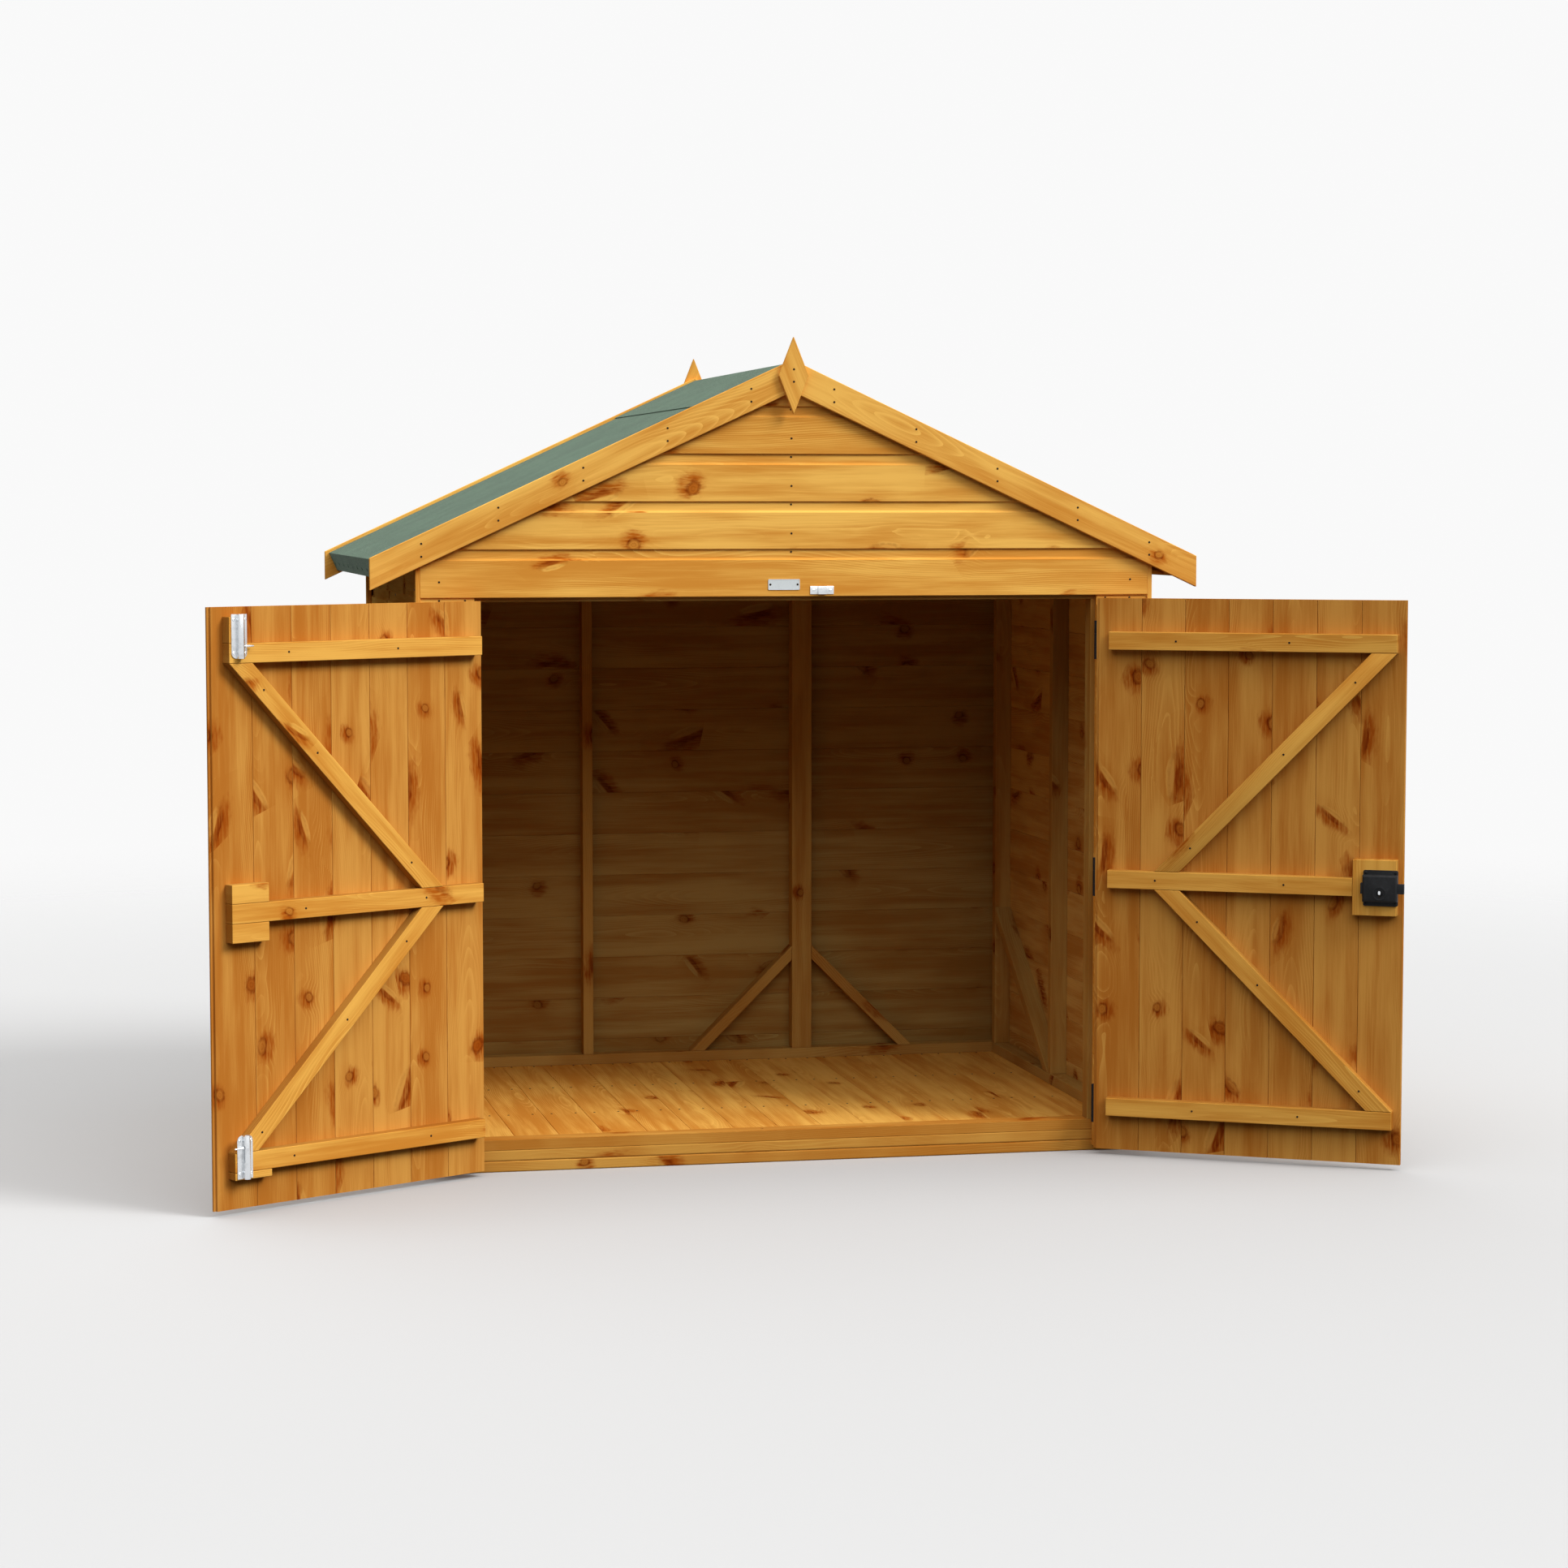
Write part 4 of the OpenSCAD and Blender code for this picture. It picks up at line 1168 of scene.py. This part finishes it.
class SHED_OT_lock(bpy.types.Operator):
    """Dress the rim lock and give it its keyhole and screws"""

    bl_idname = "shed.lock"
    bl_label = "Rim Lock"

    def execute(self, context):
        dress_metal("lock_case", "iron", "right_door", "black_iron")
        dress_metal("lock_bolt", "iron", "lock_bolt", "black_iron")
        matrix = leaf_matrix("right")
        local = points_in(node_points("lock_case"), matrix)
        low, high = box_of(local)
        face = local[local[:, 1] > high.y - NEAR]
        middle = Vector((face.min(0) + face.max(0)) / 2)
        upright = matrix @ Matrix.Translation(middle)
        self.rose(upright)
        self.keyhole(upright)
        self.screws(matrix, middle.x, low, high)
        return {"FINISHED"}

    def rose(self, upright):
        """Two fine raised rings round the keyhole."""
        thick, ring_w = 0.0008, 0.0022
        laid = upright @ Matrix.Rotation(math.radians(-90), 4, "X")
        rings = []
        for radius in (0.0160, 0.0105):
            ring = new_rod("lock_ring", radius, thick, sides=48)
            with editing(ring):
                pick(ring, "faces", lambda face: face.normal.z > STRAIGHT)
                bpy.ops.mesh.inset(thickness=ring_w)
                pull((0, 0, -thick * 0.7))
                pick(ring, "edges", is_sharp)
                soften(thick * 0.3)
            rings.append(copies("lock_ring", ring, [laid]))
        hand_over(smooth(joined("lock_rose", rings)), "iron", "right_door", "black_iron")

    def keyhole(self, upright):
        """A bright key barrel above a dark plate, which paints the shade inside the keyhole's slot."""
        thick = 0.0012
        for name, half_w, low, high, finish, slot in (
                ("key_barrel", 0.0028, -0.0020, 0.0072, "zinc", "zinc"),
                # The slot is a dark plate on the case: painted shade where the keyhole opens into the
                # lock
                ("key_slot", 0.0014, -0.0085, -0.0026, "nail", "black_iron")):
            plate = pressed_plate(name, (-half_w, 0, low), (half_w, thick, high), out=1,
                                  corner=half_w * 0.95, segments=5, rim=half_w * 0.4, sink=thick * 0.6)
            hand_over(copies(name, plate, [upright]), finish, "right_door", slot)

    def screws(self, matrix, middle_x, low, high):
        """A screw at each corner of the lock's back plate."""
        half_w, plate_t, inset = 0.042, 0.004, 0.0058
        places = []
        for x in (middle_x - half_w + inset, middle_x + half_w - inset):
            for z in (low.z + inset, high.z - inset):
                places.append((matrix @ Vector((x, low.y + plate_t, z)), axis_of(matrix, 1)))
        fix("lock_screws", screw_head(), places, "iron", "right_door", "black_iron")


class SHED_OT_front_fittings(bpy.types.Operator):
    """Dress the keep and set the bare plate over the doors"""

    bl_idname = "shed.front_fittings"
    bl_label = "Keep and Plate"

    def execute(self, context):
        dress_metal("lintel_keep", "zinc", "shed", "zinc")
        low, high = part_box("lintel_keep")
        ear_t, ear_inset = 0.002, 0.0085
        face_y = high.y - ear_t
        screws = [((x, face_y, (low.z + high.z) / 2), (0, -1, 0))
                  for x in (low.x + ear_inset, high.x - ear_inset)]
        fix("keep_screws", screw_head(), screws, "zinc", "shed", "zinc")
        self.plate()
        return {"FINISHED"}

    def plate(self):
        """A bare pressed plate with a raised rim and two pins."""
        size = sizes()
        thick, pin_inset = 0.0016, 0.0055
        sink = thick * 0.35
        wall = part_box("front_gable")[0]
        x0, z0 = size.plate_x - size.plate_w / 2, wall.z + size.plate_rise
        x1, z1 = x0 + size.plate_w, z0 + size.plate_h
        plate = pressed_plate("front_plate", (x0, wall.y - thick, z0), (x1, wall.y, z1), out=-1,
                              corner=0.0022, segments=4, rim=0.0013, sink=sink)
        hand_over(plate, "plate", "shed", "zinc")
        pins = [((x, wall.y - thick + sink, (z0 + z1) / 2), (0, -1, 0))
                for x in (x0 + pin_inset, x1 - pin_inset)]
        fix("plate_pins", nail_head(), pins, "nail", "shed", "zinc")


class SHED_OT_nails(bpy.types.Operator):
    """Nail the cladding, trims, floor and doors"""

    bl_idname = "shed.nails"
    bl_label = "Nails"

    def execute(self, context):
        self.cladding()
        self.trims()
        self.floor()
        for side in ("left", "right"):
            self.door(side)
        return {"FINISHED"}

    def rows(self):
        """Heights of the nails in the cladding rows, from the ground up, and how deep they sit."""
        foot, _, pitch = cladding_rows()
        levels = ((0.33, 0), (0.94, sizes().scoop_depth))
        number = int((roof_line()[0] - foot) / pitch) + 1
        return [(foot + (row + share) * pitch, sunk) for row in range(number) for share, sunk in levels]

    def cladding(self):
        """Nails in each row at the studs behind it."""
        apex, slope = roof_line()
        edge_inset = 0.045
        side_inset = edge_inset * 1.7
        front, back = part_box("front_gable"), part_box("back_wall")
        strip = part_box("front_wall_right")
        half = front[1].x
        places = []
        studs = [stud.mean(0)[0] for stud in solids_of("back_wall_frame") if np.ptp(stud[:, 2]) > half]
        for z, sunk in self.rows():
            reach = min(half, (apex - z) / math.tan(slope)) - edge_inset
            if reach <= 0:
                continue
            front_y, back_y = front[0].y + sunk, back[1].y - sunk
            if z < front[0].z:
                xs = [strip[0].x + edge_inset / 2, half - edge_inset]
            else:
                xs = [reach]
                places.append(((0, front_y, z), (0, -1, 0)))
            for x in xs:
                places += [((side * x, front_y, z), (0, -1, 0)) for side in (-1, 1)]
            for x in [-reach, reach] + [x for x in studs if abs(x) < reach - edge_inset]:
                places.append(((x, back_y, z), (0, 1, 0)))
            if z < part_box("left_wall")[1].z - edge_inset:
                for y in (back[1].y - side_inset, 0, front[0].y + side_inset):
                    places += [((side * (half - sunk), y, z), (side, 0, 0)) for side in (-1, 1)]
        fix("cladding_nails", nail_head(), places, "nail", "shed", "cladding")

    def trims(self):
        """Nails in the bargeboards, finials and corner trims."""
        down = math.tan(roof_line()[1])
        places = []
        for node, normal in (("front_bargeboards", -1), ("back_bargeboards", 1)):
            low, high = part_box(node)
            face = low.y if normal < 0 else high.y
            board_h = (high.z - low.z) - high.x * down
            for share in (0.10, 0.30, 0.50, 0.70, 0.88):
                x = high.x * share
                for up in (0.3, 0.7):
                    z = high.z - x * down - board_h * up
                    places += [((side * x, face, z), (0, normal, 0)) for side in (-1, 1)]
        for solid in solids_of("finials"):
            low, high = box_of(solid)
            normal = math.copysign(1, low.y)
            face = low.y if normal < 0 else high.y
            for share in (0.42, 0.58):
                places.append(((0, face, low.z + share * (high.z - low.z)), (0, normal, 0)))
        number = 7
        for solid in solids_of("corner_trims"):
            low, high = box_of(solid)
            side = math.copysign(1, low.x)
            face = high.x if side > 0 else low.x
            for index in range(number):
                z = low.z + (high.z - low.z) * (index + 0.5) / number
                places.append(((face, (low.y + high.y) / 2, z), (side, 0, 0)))
        fix("trim_nails", nail_head(), places, "nail", "shed", "trim")

    def floor(self):
        """Two nails through each floor board into each joist."""
        front_inset, back_inset = 0.012, 0.055
        low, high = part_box("floor_boards")
        pitch = board_pitch(low, high, sizes().floor_boards)
        places = []
        for joist in solids_of("floor_joists"):
            y = min(max(joist.mean(0)[1], low.y + front_inset), high.y - back_inset)
            for board in range(sizes().floor_boards):
                for share in (0.22, 0.78):
                    x = low.x + (board + share) * pitch
                    places.append(((x, y, high.z), (0, 0, 1)))
        fix("floor_nails", nail_head(), places, "nail", "shed", "floor")

    def door(self, side):
        """Nails through the boards into the ledges, and a few on the inside."""
        matrix = leaf_matrix(side)
        draw = random.Random(f"{side} nails")
        low, high = box_in(node_points(f"{side}_door_boards"), matrix)
        inwards = axis_of(matrix, 1)
        pitch = board_pitch(low, high, sizes().door_boards)
        places = []
        for ledge in solids_of(f"{side}_door_ledges"):
            ledge_low, ledge_high = box_in(ledge, matrix)
            for board in range(sizes().door_boards):
                for share, up in ((0.25, 0.3), (0.75, 0.7)):
                    x = low.x + (board + share) * pitch
                    z = ledge_low.z + up * (ledge_high.z - ledge_low.z)
                    places.append((matrix @ Vector((x, low.y, z)), -inwards))
            for share in (0.30, 0.74):
                x = ledge_low.x + (share + draw.uniform(-0.08, 0.08)) * (ledge_high.x - ledge_low.x)
                z = (ledge_low.z + ledge_high.z) / 2
                places.append((matrix @ Vector((x, ledge_high.y, z)), inwards))
        for brace in solids_of(f"{side}_door_braces"):
            brace_low, brace_high = box_in(brace, matrix)
            local = points_in(brace, matrix)
            head_x = local[local[:, 2] > brace_high.z - NEAR][:, 0].mean()
            foot_x = local[local[:, 2] < brace_low.z + NEAR][:, 0].mean()
            for share in (0.10, 0.42, 0.88):
                share += draw.uniform(-0.05, 0.05)
                x = head_x + (foot_x - head_x) * share
                z = brace_high.z + (brace_low.z - brace_high.z) * share
                places.append((matrix @ Vector((x, brace_high.y, z)), inwards))
        fix(f"{side}_door_nails", nail_head(), places, "nail", f"{side}_door", "door_timber")


class SHED_OT_stage(bpy.types.Operator):
    """Set up the pale floor, the soft lights and the camera"""

    bl_idname = "shed.stage"
    bl_label = "Studio"

    def execute(self, context):
        self.floor()
        self.world()
        self.sun("key_light", azimuth=54, height=37, spread=24, strength=2.23)
        self.sun("top_light", azimuth=0, height=65, spread=95, strength=2.96)
        self.sun("back_light", azimuth=205, height=48, spread=70, strength=1.3)
        self.camera()
        context.scene.view_settings.view_transform = "Standard"
        return {"FINISHED"}

    def floor(self):
        """A round floor that fades out into the pale surround."""
        radius, fade_start = 14.0, 3.2
        clear_selection()
        bpy.ops.mesh.primitive_circle_add(vertices=96, radius=radius, fill_type="NGON")
        piece = settle("studio_floor")
        finish, wires, shader = new_finish(
            "studio_floor", Base_Color=rgba(colours().studio), Roughness=0.9, Specular_IOR_Level=0.1)
        place = object_place(wires)
        far = wires.add("ShaderNodeVectorMath", operation="LENGTH")
        wires.feed(far.inputs[0], place)
        clear = wires.add("ShaderNodeBsdfTransparent")
        mixed = wires.add("ShaderNodeMixShader")
        unseen = wires.rest(wires.add("ShaderNodeLightPath").outputs["Is Camera Ray"])
        fade = wires.math("ADD", unseen, wires.ease(far.outputs["Value"], fade_start, radius * 0.6))
        wires.feed(mixed.inputs[0], wires.math("MINIMUM", fade, 1.0))
        wires.feed(mixed.inputs[1], shader.outputs[0])
        wires.feed(mixed.inputs[2], clear.outputs[0])
        wires.feed(finish.node_tree.nodes["Material Output"].inputs["Surface"], mixed.outputs[0])
        piece.data.materials.append(finish)

    def world(self):
        """Soft light from all round, with a pale surround where it is seen."""
        light, seen = 0.08, 0.95
        world = bpy.data.worlds.new("studio")
        world.use_nodes = True
        bpy.context.scene.world = world
        wires = Wires(world.node_tree)
        path = wires.add("ShaderNodeLightPath").outputs
        shows = wires.total((path["Is Camera Ray"], 1.0), (path["Is Glossy Ray"], 1.0),
                            (path["Is Transmission Ray"], 1.0))
        background = world.node_tree.nodes["Background"]
        background.inputs["Color"].default_value = (1, 1, 1, 1)
        wires.feed(background.inputs["Strength"],
                   wires.total((wires.math("MINIMUM", shows, 1.0), seen - light), (1.0, light)))

    def sun(self, name, azimuth, height, spread, strength):
        """A lamp from an angle right of the front and an angle above the floor."""
        lamp = bpy.data.lights.new(name, "SUN")
        lamp.energy = strength
        lamp.angle = math.radians(spread)
        holder = bpy.data.objects.new(name, lamp)
        turn, rise = math.radians(azimuth), math.radians(height)
        out = math.cos(rise)
        towards = Vector((math.sin(turn) * out, -math.cos(turn) * out, math.sin(rise)))
        holder.rotation_euler = towards.to_track_quat("Z", "Y").to_euler()
        bpy.context.scene.collection.objects.link(holder)

    def camera(self):
        """The camera at the viewing angle of the reference."""
        place = (-1.8188, -9.2500, 1.6174)
        tilt, turn = 85.58, -11.82
        lens = bpy.data.cameras.new("camera")
        lens.sensor_width = 36
        lens.lens = 82.64
        holder = bpy.data.objects.new("camera", lens)
        holder.location = place
        holder.rotation_euler = (math.radians(tilt), 0, math.radians(turn))
        bpy.context.scene.collection.objects.link(holder)
        bpy.context.scene.camera = holder


OPERATORS = (SHED_OT_stage, SHED_OT_walls, SHED_OT_timbers, SHED_OT_floor, SHED_OT_roof, SHED_OT_doors,
             SHED_OT_hinges, SHED_OT_bolts, SHED_OT_lock, SHED_OT_front_fittings, SHED_OT_nails)


class SHED_PT_finish(bpy.types.Panel):
    """Lists the steps of the shed's finish"""

    bl_idname = "SHED_PT_finish"
    bl_label = "Bike Shed Finish"
    bl_space_type = "VIEW_3D"
    bl_region_type = "UI"
    bl_category = "Shed"

    def draw(self, context):
        for settings in (context.scene.shed_sizes, context.scene.shed_colours):
            for key in settings.__annotations__:
                self.layout.prop(settings, key)
        for operator in OPERATORS:
            self.layout.operator(operator.bl_idname)


CLASSES = (ShedSizes, ShedColours, *OPERATORS, SHED_PT_finish)


def register():
    """Adds the classes and the settings."""
    for item in CLASSES:
        bpy.utils.register_class(item)
    bpy.types.Scene.shed_sizes = bpy.props.PointerProperty(type=ShedSizes)
    bpy.types.Scene.shed_colours = bpy.props.PointerProperty(type=ShedColours)


def unregister():
    """Takes the settings and the classes away again."""
    del bpy.types.Scene.shed_colours
    del bpy.types.Scene.shed_sizes
    for item in reversed(CLASSES):
        bpy.utils.unregister_class(item)


def main():
    """Builds the finish and the studio."""
    register()
    make_finishes()
    for operator in OPERATORS:
        group, name = operator.bl_idname.split(".")
        getattr(getattr(bpy.ops, group), name)()


if __name__ == "__main__":
    main()
